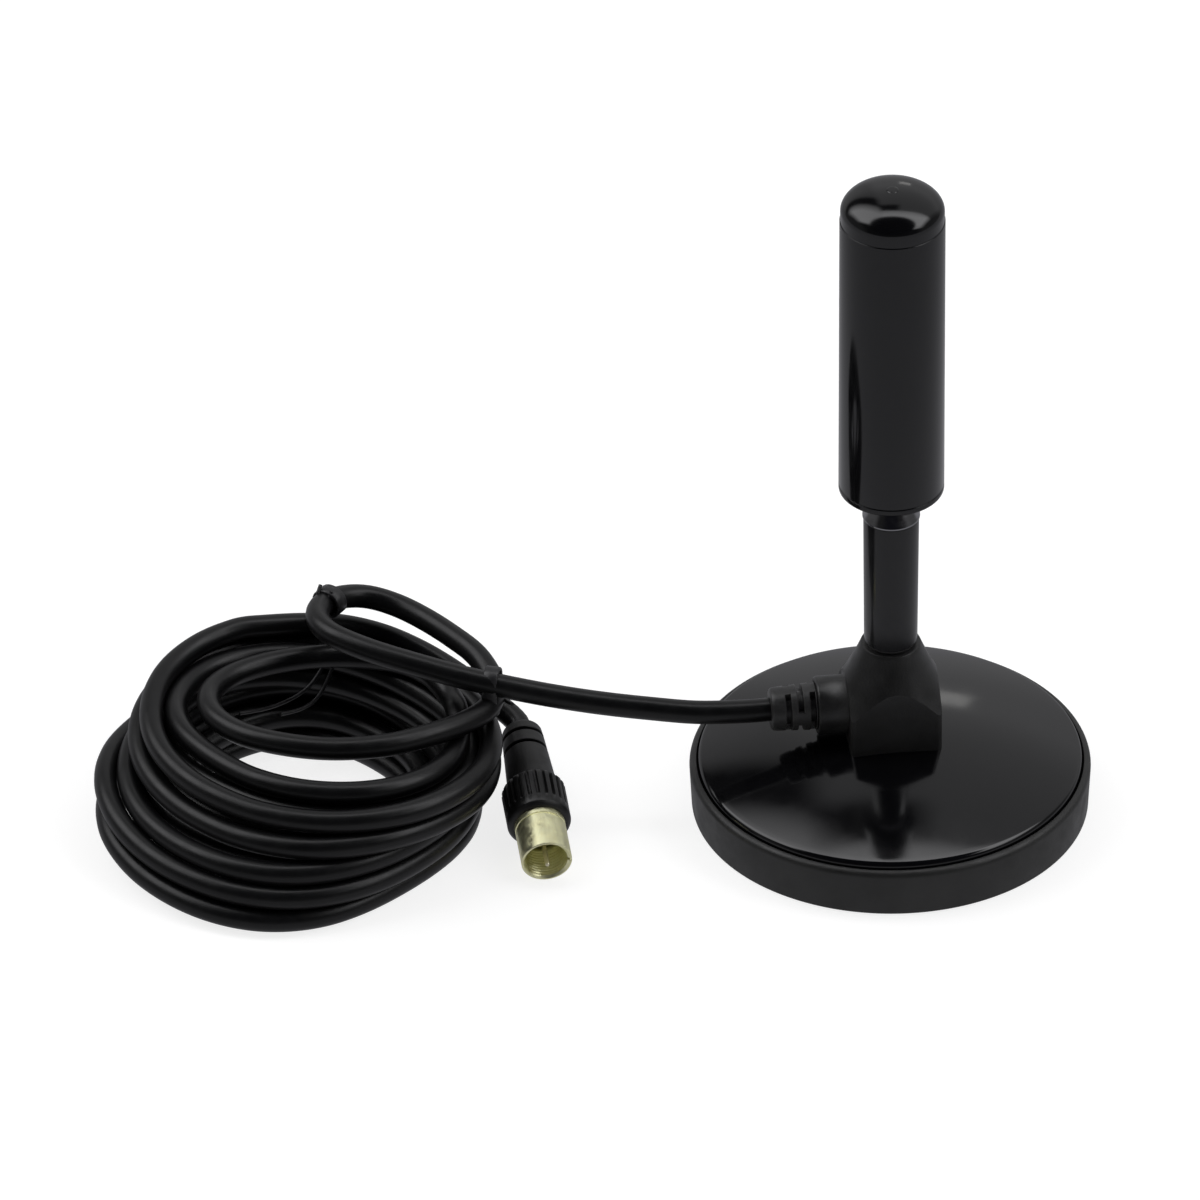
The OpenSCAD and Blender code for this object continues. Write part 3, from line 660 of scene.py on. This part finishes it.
BASE_R = 42.5
BOOT_TOP = 10.9
COVER_R = 40.6
COVER_FOOT = 1.5            # the cover's lower edge stands this high, on the boot's floor
COVER_WALL = 1.8
DOME_R = 112.5
DOME_TOP = 19.5
HUB_HOLE_R = 4.5


def dome_at(r, inset=0.0):
    """Height of the dome at a radius, inset below its surface."""
    return DOME_TOP - DOME_R + math.sqrt((DOME_R - inset) ** 2 - r * r)


def base_boot():
    lip_r = COVER_R + 0.3
    outline = [
        (0, 0), (BASE_R - 0.6, 0, 0.6), (BASE_R, BOOT_TOP, 1.4), (lip_r, BOOT_TOP, 0.25), (lip_r, 9.2),
        (COVER_R, 8.9), (COVER_R, COVER_FOOT), (0, COVER_FOOT),
    ]
    return lathe("boot", rounded(outline, 8), 256)


def dome_cover():
    edge_r, edge_z, edge_turn = 1.3, 11.02, 69
    edge = arc(COVER_R - edge_r, edge_z, edge_r, 0, edge_turn, 12)
    radii = [edge[-1][0] * (1 - i / 40) for i in range(1, 40)]
    crown = [(r, dome_at(r)) for r in radii if r > HUB_HOLE_R]
    inner_r, step = COVER_R - COVER_WALL, 1.2
    radii = [HUB_HOLE_R + (inner_r - step - HUB_HOLE_R) * i / 24 for i in range(25)]
    under = [(r, dome_at(r, COVER_WALL)) for r in radii]
    outline = [(inner_r, COVER_FOOT), (COVER_R, COVER_FOOT)] + edge + crown
    outline += [(HUB_HOLE_R, dome_at(HUB_HOLE_R))] + under + [(inner_r, dome_at(inner_r, COVER_WALL) - step)]
    return lathe("dome", outline, 256, sharp_angle=28)


placed(base_boot(), "root", "boot_rubber", "base_boot")
placed(dome_cover(), "root", "dome_gloss", "dome_cover")


# ---------- hub, its cable exit and the strain relief

HUB_HALF = 9.75
HUB_CORNER = 1.2
HUB_TOP = 41.2
HUB_NECK = 6.3
HUB_BORE_R, HUB_POCKET_R, HUB_POCKET_TOP = 3.0, 5.0, 31.5
FLARE_SLOPE, FLARE_CURVE = 0.38, 0.01
EXIT_Z = 26.0
EXIT_BORE_R = 3.6
BOSS_R = 6.25
BOSS_START, BOSS_X = 7, 16.0
SLEEVE_START, SLEEVE_END = 11.5, 25.7
WASHER_TOP = 42.0
STUD_R, STUD_BORE_R = 3.0, 1.7


def flare(depth):
    """Radius of the hub's flare at a depth below its top."""
    return HUB_NECK + FLARE_SLOPE * depth + FLARE_CURVE * depth * depth


def flare_depth(radius):
    """How far below the hub's top the flare has that radius."""
    root = math.sqrt(FLARE_SLOPE ** 2 + 4 * FLARE_CURVE * (radius - HUB_NECK))
    return (root - FLARE_SLOPE) / (2 * FLARE_CURVE)


def square_radius(angle):
    """Radius of the hub's square foot, with its rounded corners, at an angle."""
    quarter = math.pi / 2
    a = abs((angle + quarter / 2) % quarter - quarter / 2)
    flat = HUB_HALF - HUB_CORNER
    if HUB_HALF * math.tan(a) <= flat:
        return HUB_HALF / math.cos(a)
    diagonal = flat * (math.cos(a) + math.sin(a))
    return diagonal + math.sqrt(HUB_CORNER ** 2 - flat ** 2 * (math.cos(a) - math.sin(a)) ** 2)


def hub_column(angle):
    """The closed outline of the hub's wall at one angle, from the foot up the outside and down the inside."""
    wide = square_radius(angle)
    crease = HUB_TOP - flare_depth(wide)
    foot, soften = dome_at(wide), 0.18
    column = [(wide, foot + (crease - soften - foot) * k / 6) for k in range(7)]
    column.append((flare(HUB_TOP - crease) - 0.012, crease))
    low = crease + soften
    rise = HUB_TOP - 0.25 - low
    column += [(flare(HUB_TOP - low - rise * k / 16), low + rise * k / 16) for k in range(17)]
    column += [(HUB_NECK - 0.06, HUB_TOP - 0.06), (HUB_NECK - 0.3, HUB_TOP), (HUB_BORE_R, HUB_TOP)]
    column += [(HUB_BORE_R, HUB_POCKET_TOP), (HUB_POCKET_R, HUB_POCKET_TOP)]
    radii = [HUB_POCKET_R + (wide - HUB_POCKET_R) * k / 4 for k in range(4)]
    return column + [(r, dome_at(r)) for r in radii]


def hub_shell():
    points = []
    columns = 320
    for i in range(columns):
        a = 2 * math.pi * i / columns
        column = hub_column(a)
        points += [Vector((r * math.cos(a), r * math.sin(a), z)) * MM for r, z in column]
    hub = finish_mesh("hub", points, skin(columns, len(column)), 25)
    outline = [(0, BOSS_START), (BOSS_R, BOSS_START), (BOSS_R, BOSS_X, 0.5), (0, BOSS_X)]
    boss = lathe("boss", rounded(outline, 5), 128, along_x(EXIT_Z))
    boolean(hub, boss, "UNION")
    outline = [(0, 2), (EXIT_BORE_R, 2), (EXIT_BORE_R, BOSS_X + 1), (0, BOSS_X + 1)]
    return boolean(hub, lathe("bore", outline, 96, along_x(EXIT_Z)), "DIFFERENCE")


def strain_relief():
    """The slotted sleeve. Each slot leaves two lands, which are turned by a quarter from slot to slot."""
    root_r, tip_r, core_r = 5.1, 4.6, 3.4
    slots, slot_w, land = (16.9, 19.5, 22.1), 1.2, 3.2
    uncut = -1

    def outer(x):
        return root_r + (tip_r - root_r) * (x - BOSS_X) / (SLEEVE_END - 0.5 - BOSS_X)

    outline = [
        (CABLE_R, SLEEVE_START), (EXIT_BORE_R, SLEEVE_START), (EXIT_BORE_R, BOSS_X), (root_r - 0.2, BOSS_X),
        (root_r, BOSS_X + 0.2),
    ]
    slot_of = [uncut] * len(outline)
    for index, x in enumerate(slots):
        a, b = x - slot_w / 2, x + slot_w / 2
        outline += [(outer(a - 0.15), a - 0.15), (outer(a) - 0.12, a), (core_r, a + 0.02), (core_r, b - 0.02)]
        outline += [(outer(b) - 0.12, b), (outer(b + 0.15), b + 0.15)]
        slot_of += [uncut, index, index, index, index, uncut]
    end = [
        (outer(24.6), 24.6), (tip_r - 0.02, 25.1), (tip_r - 0.22, 25.5), (tip_r - 0.6, SLEEVE_END),
        (CABLE_R, SLEEVE_END),
    ]
    outline += end
    slot_of += [uncut] * len(end)

    def shape(r, angle, x, row):
        if slot_of[row] == uncut:
            return r
        across = abs(math.cos(angle)) if slot_of[row] % 2 else abs(math.sin(angle))
        full = outer(x)
        return full if across * full < land / 2 else r

    return lathe("strain_relief_sleeve", outline, 256, along_x(EXIT_Z), shape, 30)


def seal_washer():
    bore, rim = 3.1, 5.2
    outline = [(bore, HUB_TOP, 0.1), (rim, HUB_TOP, 0.15), (rim, WASHER_TOP, 0.15), (bore, WASHER_TOP, 0.1)]
    return lathe("washer", rounded(outline, 3), 96)


def thread_turn(angle, z, pitch):
    """Where a point lies between two ridges of a thread, 0 to 1."""
    return (z / pitch - angle / (2 * math.pi)) % 1


def mast_stud():
    """The stud that the mast screws onto, with its thread cut as a real helix."""
    pitch, depth = 0.8, 0.42
    start, top, chamfer = 40.6, 46.6, 0.35
    flange_r, flange_z, flange_top = 4.6, 30, 31.5
    rows = 96
    foot = [(STUD_BORE_R, flange_z), (flange_r, flange_z), (flange_r, flange_top), (STUD_R, flange_top)]
    thread = [(STUD_R, start + (top - chamfer - start) * k / rows) for k in range(rows + 1)]
    first, last = len(foot), len(foot) + rows

    def shape(r, angle, z, row):
        if not first < row < last:
            return r
        ridge = 1 - abs(2 * thread_turn(angle, z, pitch) - 1)
        fade = min(1, (z - start) / pitch)
        return r - depth * fade * (1 - min(1, ridge * 1.25))

    outline = foot + thread + [(STUD_R - chamfer, top), (STUD_BORE_R, top)]
    return lathe("stud", outline, 96, None, shape, 40)


placed(hub_shell(), "root", "hub_matte", "hub_shell")
sleeve = placed(strain_relief(), "root", "soft_pvc", "strain_relief")
placed(seal_washer(), "root", "soft_pvc", "seal_washer")
placed(mast_stud(), "root", "bare_brass", "mast_stud")


# ---------- mast

MAST_Z = 42.0
STEM_BORE_R = 4.4
STEM_TOP = 73.5
COLLAR_R, WAIST_R, COLLAR_BORE_R = 6.1, 4.2, 2.2
SPIGOT_R = 4.8              # the collar's spigot in the radome's foot
RADOME_Z = 80.7
RADOME_R, RADOME_BORE_R = 11.15, 9.6
FOOT_LIP = RADOME_Z + 1.45
CAP_Z = 149.0
CAP_R = 11.0
CAP_PLUG = 7.0              # how far the cap's inner wall goes down into the radome
CROWN_H = 5.3
GATE_R, GATE_H, GATE_EDGE = 1.3, 0.14, 0.25
MAST_TOP = 156.5


def stem_tube():
    outline = [(STEM_BORE_R, MAST_Z), (5.65, MAST_Z, 0.3), (5.9, STEM_TOP, 0.35), (STEM_BORE_R, STEM_TOP)]
    return lathe("stem", rounded(outline, 5))


def mast_coupler():
    """The waisted collar, with a spigot down into the stem and one up into the radome's foot."""
    spigot_end, spigot_top = 66, 87
    outline = [
        (COLLAR_BORE_R, spigot_end), (STEM_BORE_R, spigot_end), (STEM_BORE_R, STEM_TOP),
        (COLLAR_R, STEM_TOP, 0.12), (COLLAR_R, STEM_TOP + 0.4, 0.12), (WAIST_R, 76.9, 0.6),
        (WAIST_R, 79.2, 0.3), (COLLAR_R, RADOME_Z - 0.4, 0.15), (COLLAR_R, RADOME_Z), (SPIGOT_R, RADOME_Z),
        (SPIGOT_R, spigot_top), (COLLAR_BORE_R, spigot_top),
    ]
    return lathe("collar", rounded(outline, 4))


def radome_foot():
    """The disc that closes the radome below, with a ring that stands up inside its wall."""
    disc_top, ring_top, ring_r = 82.9, 86.7, 8
    outline = [
        (SPIGOT_R, RADOME_Z, 0.2), (RADOME_R, RADOME_Z, 0.5), (RADOME_R, FOOT_LIP, 0.12),
        (RADOME_BORE_R, FOOT_LIP), (RADOME_BORE_R, ring_top, 0.2), (ring_r, ring_top), (ring_r, disc_top),
        (SPIGOT_R, disc_top),
    ]
    return lathe("foot_disc", rounded(outline, 5))


def radome_tube():
    low = FOOT_LIP + 0.15
    outline = [(RADOME_BORE_R, low), (RADOME_R, low, 0.12), (RADOME_R, CAP_Z, 0.15), (RADOME_BORE_R, CAP_Z)]
    return lathe("radome", rounded(outline, 4), 256)


def crown_at(r):
    """Height of the cap's half ellipsoid at a radius, with the moulding's gate mark on its middle."""
    gate = GATE_H * ease((GATE_R - r) / GATE_EDGE)
    return MAST_TOP - CROWN_H + CROWN_H * math.sqrt(max(1 - (r / CAP_R) ** 2, 0)) + gate


def radome_cap():
    radii = [CAP_R * math.cos(math.radians(a)) for a in np.linspace(0, 88, 45)]
    radii += [GATE_R + step for step in (0.1, 0, -0.12, -0.25, -0.35)] + [0]
    outline = [(RADOME_BORE_R, CAP_Z - CAP_PLUG), (RADOME_BORE_R, CAP_Z), (CAP_R - 0.1, CAP_Z)]
    outline += [(CAP_R, CAP_Z + 0.1)] + [(r, crown_at(r)) for r in sorted(radii, reverse=True)]
    outline += [(0, MAST_TOP - 1.6), (6.6, MAST_TOP - 3.6), (8, CAP_Z), (8, CAP_Z - CAP_PLUG)]
    return lathe("cap", outline, 256)


placed(stem_tube(), "mast", "stem_paint", "stem_tube")
placed(mast_coupler(), "mast", "collar_polished", "mast_coupler")
placed(radome_foot(), "mast", "radome_plastic", "radome_foot")
placed(radome_tube(), "mast", "radome_plastic", "radome_tube")
placed(radome_cap(), "mast", "radome_plastic", "radome_cap")


# ---------- plug, with z = 0 at the nut's mouth

PLUG_MOUTH = Vector((-76, -19.8, 5.5))
PLUG_TILT = 9
PLUG_PLACE = Matrix.Translation(PLUG_MOUTH * MM) @ Matrix.Rotation(math.radians(PLUG_TILT - 90), 4, "X")
PLUG_L = 39.5
NUT_R, NUT_L, NUT_BORE_R = 5.4, 15.0, 4.7
NUT_NECK_R = 4.45           # inside the nut's back, round the post
GRIP_R = 6.8
POST_R, POST_BORE_R, POST_END = 3.3, 1.6, 24
PIN_R, CORE_R, DIELECTRIC_Z = 0.5, 0.8, 8.4


def plug_nut():
    web, web_top, web_bore, thread_end, lip = 10.4, 12.2, 3.42, 8.2, 0.3
    pitch, depth, rows = 0.794, 0.22, 84
    outside = [
        (NUT_R - 0.12, 0), (NUT_R, 0.12), (NUT_R, 8.95), (NUT_R - 0.2, 9.05), (NUT_R - 0.2, 9.55),
        (NUT_R, 9.65), (NUT_R, NUT_L),
    ]
    inside = [
        (NUT_NECK_R, NUT_L), (NUT_NECK_R, web_top), (web_bore, web_top), (web_bore, web), (NUT_BORE_R, web),
        (NUT_BORE_R, thread_end + 0.1),
    ]
    thread = [(NUT_BORE_R, thread_end - (thread_end - lip) * k / rows) for k in range(rows + 1)]
    first = len(outside) + len(inside)
    last = first + rows

    def shape(r, angle, z, row):
        if not first < row < last:
            return r
        return r - depth * (1 - abs(2 * thread_turn(angle, z, pitch) - 1))

    outline = outside + inside + thread + [(NUT_BORE_R + lip, 0)]
    nut = lathe("nut", outline, 144, None, shape, 40)
    slit = box_mesh("slit", (3, -0.25, -1), (NUT_R + 1, 0.25, 7))
    boolean(nut, slit, "DIFFERENCE")
    nut.data.transform(PLUG_PLACE)
    return nut


def plug_grip():
    """The grip: a plain collar in front, then ribs with valleys that run in over a short step."""
    low, top, collar = 10.9, 21.9, 3.0
    depth, ribs, valley_from, valley_edge, run_in = 0.75, 24, 0.48, 0.26, 0.7
    ribs_low, ribs_top = low + collar, top - 1.2
    front = [
        (NUT_R, low), (GRIP_R - 0.9, low), (GRIP_R - 0.75, low + 0.06), (GRIP_R - 0.1, low + 0.75),
        (GRIP_R, low + 1.0), (GRIP_R, ribs_low - 0.15), (GRIP_R, ribs_low + 0.15),
    ]
    start = ribs_low + 0.6
    ribbed = [(GRIP_R, start + (ribs_top - start) * k / 8) for k in range(9)]
    back = [(GRIP_R - 0.25, top - 0.7), (GRIP_R - 0.8, top - 0.15), (GRIP_R - 1.1, top)]
    inside = [(NUT_NECK_R, top), (NUT_NECK_R, NUT_L), (NUT_R, NUT_L)]
    first = len(front) - 1
    last = len(front + ribbed + back) - 1

    def shape(r, angle, z, row):
        if not first <= row <= last:
            return r
        across = abs((angle * ribs / (2 * math.pi)) % 1 - 0.5) * 2
        valley = ease((across - valley_from) / valley_edge)
        deep = min(1, (z - ribs_low) / run_in)
        return r - max(0, r - GRIP_R + depth) * valley * deep

    return lathe("grip", front + ribbed + back + inside, ribs * 16, PLUG_PLACE, shape, 50)


def plug_body():
    """The tapered shell behind the grip, with two grooves near its end."""
    nose, nose_r, front, back = 15.4, 4.2, 22.15, PLUG_L
    front_r, back_r, round_r = 5.3, 4.3, 1.2
    half, deep = 0.4, 0.7

    def side(z):
        return front_r - (front_r - back_r) * (z - front) / (back - front)

    outline = [(POST_R, nose), (nose_r, nose), (nose_r, front)]
    outline += [(front_r - 0.25, front), (front_r, front + 0.25)]
    for z in (back - 7.3, back - 3.3):
        floor = side(z) - deep
        outline += [
            (side(z - half - 0.15), z - half - 0.15), (side(z - half) - 0.12, z - half + 0.02),
            (floor, z - half + 0.1), (floor, z + half - 0.1), (side(z + half) - 0.12, z + half - 0.02),
            (side(z + half + 0.15), z + half + 0.15),
        ]
    outline += arc(back_r - round_r, back - round_r, round_r, 0, 90, 7)
    outline += [(CABLE_R, back), (CABLE_R, 30), (POST_R, 30)]
    return lathe("plug_shell", outline, 160, PLUG_PLACE, sharp_angle=30)


def plug_post():
    flange_r, flange_z, flange_top = 4.3, 8.8, 10.3
    outline = [(POST_BORE_R, flange_z, 0.1), (flange_r, flange_z, 0.15), (flange_r, flange_top)]
    outline += [(POST_R, flange_top), (POST_R, POST_END), (POST_BORE_R, POST_END)]
    return lathe("post", rounded(outline, 3), 96, PLUG_PLACE)


def plug_insulator():
    outline = [(CORE_R, DIELECTRIC_Z), (POST_BORE_R, DIELECTRIC_Z, 0.12)]
    outline += [(POST_BORE_R, POST_END), (CORE_R, POST_END)]
    return lathe("insulator", rounded(outline, 3), 64, PLUG_PLACE)


def plug_pin():
    tip_z, end = -0.8, 26
    outline = arc(0, tip_z, PIN_R, -90, 0, 6)
    outline += [(PIN_R, DIELECTRIC_Z), (CORE_R, DIELECTRIC_Z), (CORE_R, end), (0, end)]
    return lathe("pin", outline, 48, PLUG_PLACE)


plug_pieces = [
    placed(plug_nut(), "f_nut", "nut_champagne", "plug_nut"),
    placed(plug_grip(), "f_nut", "plug_moulding", "plug_grip"),
    placed(plug_body(), "root", "plug_moulding", "plug_body"),
    placed(plug_post(), "root", "nut_champagne", "plug_post"),
    placed(plug_insulator(), "root", SLOT_OF["plug_insulator"], "plug_insulator"),
    placed(plug_pin(), "root", "pin_gold", "plug_pin"),
]


# ---------- cable ties

TIE_GAP, TIE_W, TIE_T = 0.45, 3.2, 0.7
TAIL_R = 0.42


def tie(name, centre, turn, gap, quarter):
    """A strap round two strands that lie gap apart, in the plane square to the strands' direction."""
    reach = CABLE_R + TIE_GAP
    ends = arc(gap / 2, 0, reach, -90, 90, 12) + arc(-gap / 2, 0, reach, 90, 270, 12)
    place = Matrix.Translation(Vector(centre) * MM) @ Matrix.Rotation(math.radians(turn), 4, "Z")
    place = place @ Matrix.Rotation(math.radians(90), 4, "Y")
    if quarter:
        place = place @ Matrix.Rotation(math.radians(90), 4, "Z")
    line = [place @ (Vector((y, x, 0)) * MM) for x, y in ends]
    across = (place.to_3x3() @ Vector((0, 0, 1))).normalized()
    return band_mesh(name, line, across, TIE_W * MM, TIE_T * MM)


tie_pieces = [
    placed(tie("strap_left", (-113.8, 41.4, 33.7), 48, 0.4, False), "root", "tie_plastic", "tie_left"),
    placed(tie("strap_right", (-83.4, 10.6, 29.0), 160, 4.8, True), "root", "tie_plastic", "tie_right"),
]

# The ties' thin ends: two that hang into the coil and a short one.
TAIL_LINES = [
    [(-115.6, 42.4, 37.4), (-116.4, 40.6, 35.6), (-115.2, 39.6, 31.4), (-114.2, 38.6, 25.4),
     (-116.2, 36.2, 20.4), (-120.4, 33.6, 16.6), (-127.4, 31.6, 14.6), (-134.6, 29.8, 14.8)],
    [(-113.6, 40.2, 37.0), (-114.8, 38.8, 34.4), (-114.2, 38.2, 31), (-112.8, 37.6, 25), (-114.6, 35, 19.6),
     (-117.6, 32.4, 15.6), (-121.2, 30.4, 14.4), (-126, 28.8, 14.4)],
    [(-81.4, 12.6, 26.6), (-80.6, 11.2, 26), (-79.8, 9.6, 26.2), (-79.4, 8.6, 26.6)],
]
for count, tail_line in enumerate(TAIL_LINES, 1):
    tail_path = [p * MM for p in catmull(tail_line, 8)]
    tail_piece = tube_mesh(f"strap_tail_{count}", tail_path, TAIL_R * MM, 10)
    tie_pieces.append(placed(tail_piece, "root", "tie_plastic"))

placed(cable, "root", "cable_pvc", "cable_lead", "cable_coil", "cable_tail")


# ---------- floor, light and surroundings

FLOOR_HALF = 12.0
FLOOR_DROP = 0.0001         # the table lies this far below the object, in metres
FLOOR_GLOW = 0.81
FLOOR_WHITE = (0.33, 0.33, 0.325, 1)
FLOOR_IN_GLOSS = (0.37, 0.37, 0.39, 1)
# Brightness over the tent's arch: (degrees from the far horizon over the top, level).
FAR_WALL = [(0, 0.38), (14, 0.44), (26, 0.58), (38, 0.52)]
OVERHEAD = [(73, 2.0), (82, 3.2), (112, 3.2), (131, 2.2), (138, 0.03)]
PLAIN_GAP = [(60, 0.50), (70, 0.52)]
DARK_GAP = [(58, 0.48), (62, 0.04), (70, 0.04)]
LEFT_PART = [(16, 0.30), (42, 0.44), (54, 0.40), (61, 0.03), (72, 0.03)]
LEFT_PART += [(78, 0.95), (92, 2.6), (135, 3.0), (150, 0.03)]
LEFT_SLANT = -0.31          # how the left part's bands lean
# Where one part passes into the next: how far to the right a direction points, -1 to 1.
LEFT_TO_MIDDLE = (-0.24, -0.15)
MIDDLE_TO_RIGHT = (0.06, 0.15)
TENT_ENDS = (0.76, 0.9)
END_LEVEL = (0.14, 0.14, 0.14)
VIEWER_ELEVATION = 56
VIEWER_EDGE = (0.74, 0.79)
VIEWER_LEVEL = (0.012, 0.012, 0.016)
ROOM_WHITE = (1.0, 1.0, 1.0)
WINDOW = dict(azimuth=VIEW_AZIMUTH + 173, elevation=23, distance=1.6, size=0.16, level=1.05,
              colour=(1, 0.99, 0.96))


def make_floor():
    """A white table. Its shine in the plastic is kept down, as under a hood."""
    corners = [(x * FLOOR_HALF, y * FLOOR_HALF, 0) for x, y in ((-1, -1), (1, -1), (1, 1), (-1, 1))]
    floor = finish_mesh("floor", corners, [(0, 1, 2, 3)])
    floor.location.z = -FLOOR_DROP
    material = bpy.data.materials.new("floor")
    tree = cleared_tree(material)
    kinds = ("OutputMaterial", "MixShader", "Emission", "BsdfDiffuse", "AddShader", "Emission", "LightPath")
    output, seen, glow, white, both, dark, path = (tree.nodes.new("ShaderNode" + kind) for kind in kinds)
    glow.inputs["Strength"].default_value = FLOOR_GLOW
    white.inputs["Color"].default_value = FLOOR_WHITE
    dark.inputs["Color"].default_value = FLOOR_IN_GLOSS
    tree.links.new(glow.outputs[0], both.inputs[0])
    tree.links.new(white.outputs[0], both.inputs[1])
    tree.links.new(path.outputs["Is Glossy Ray"], seen.inputs[0])
    tree.links.new(both.outputs[0], seen.inputs[1])
    tree.links.new(dark.outputs[0], seen.inputs[2])
    tree.links.new(seen.outputs[0], output.inputs[0])
    floor.data.materials.append(material)


def level_ramp(tree, turn, levels):
    """Brightness over the tent's arch. turn is 0 at the far horizon and 1 at the near one."""
    ramp = tree.nodes.new("ShaderNodeValToRGB")
    tree.links.new(turn, ramp.inputs[0])
    while len(ramp.color_ramp.elements) < len(levels):
        ramp.color_ramp.elements.new(0.5)
    for element, (degrees, level) in zip(ramp.color_ramp.elements, levels):
        element.position = degrees / 180
        element.color = (level, level, level * 1.02, 1)
    return ramp.outputs[0]


def along(tree, direction, axis):
    """How far a direction points along an axis."""
    node = tree.nodes.new("ShaderNodeVectorMath")
    node.operation = "DOT_PRODUCT"
    tree.links.new(direction, node.inputs[0])
    node.inputs[1].default_value = axis
    return node.outputs["Value"]


def make_world():
    """A studio tent: a far wall, a softbox overhead, a gap between them, and dark where the viewer stands."""
    world = bpy.data.worlds.new("studio")
    bpy.context.scene.world = world
    tree = cleared_tree(world)
    direction = tree.nodes.new("ShaderNodeTexCoord").outputs["Generated"]
    right, up, near = view_axes(VIEW_AZIMUTH, 0)
    sideways = along(tree, direction, right)
    turn = calculated(tree, "ARCTAN2", along(tree, direction, up), along(tree, direction, -near))
    arch = mapped(tree, turn, 0, 1, 0, math.pi)
    plain = level_ramp(tree, arch, FAR_WALL + PLAIN_GAP + OVERHEAD)
    front = level_ramp(tree, arch, FAR_WALL + DARK_GAP + OVERHEAD)
    left = level_ramp(tree, calculated(tree, "MULTIPLY_ADD", sideways, LEFT_SLANT, arch), LEFT_PART)
    tent = mixed(tree, mapped(tree, sideways, 0, 1, *LEFT_TO_MIDDLE), left, front)
    tent = mixed(tree, mapped(tree, sideways, 0, 1, *MIDDLE_TO_RIGHT), tent, plain)
    ends = mapped(tree, calculated(tree, "ABSOLUTE", sideways), 0, 1, *TENT_ENDS)
    tent = mixed(tree, ends, tent, END_LEVEL)
    viewer = along(tree, direction, view_axes(VIEW_AZIMUTH, VIEWER_ELEVATION)[2])
    tent = mixed(tree, mapped(tree, viewer, 0, 1, *VIEWER_EDGE), tent, VIEWER_LEVEL)
    path = tree.nodes.new("ShaderNodeLightPath")
    seen = mixed(tree, path.outputs["Is Camera Ray"], tent, ROOM_WHITE)
    background = tree.nodes.new("ShaderNodeBackground")
    output = tree.nodes.new("ShaderNodeOutputWorld")
    tree.links.new(seen, background.inputs[0])
    tree.links.new(background.outputs[0], output.inputs[0])


def softbox(name, azimuth, elevation, distance, size, level, colour):
    """A square light that faces the object. level is its brightness as seen."""
    back = view_axes(azimuth, elevation)[2]
    data = bpy.data.lights.new(name, "AREA")
    data.shape, data.size, data.color = "SQUARE", size, colour
    data.energy = level * math.pi * size * size
    light = new_object(name, data)
    light.location = back * distance
    light.rotation_mode = "QUATERNION"
    light.rotation_quaternion = back.to_track_quat("Z", "Y")


make_floor()
make_world()
softbox("window", **WINDOW)
bpy.context.scene.view_settings.view_transform = "Standard"


# ---------- the end

import json
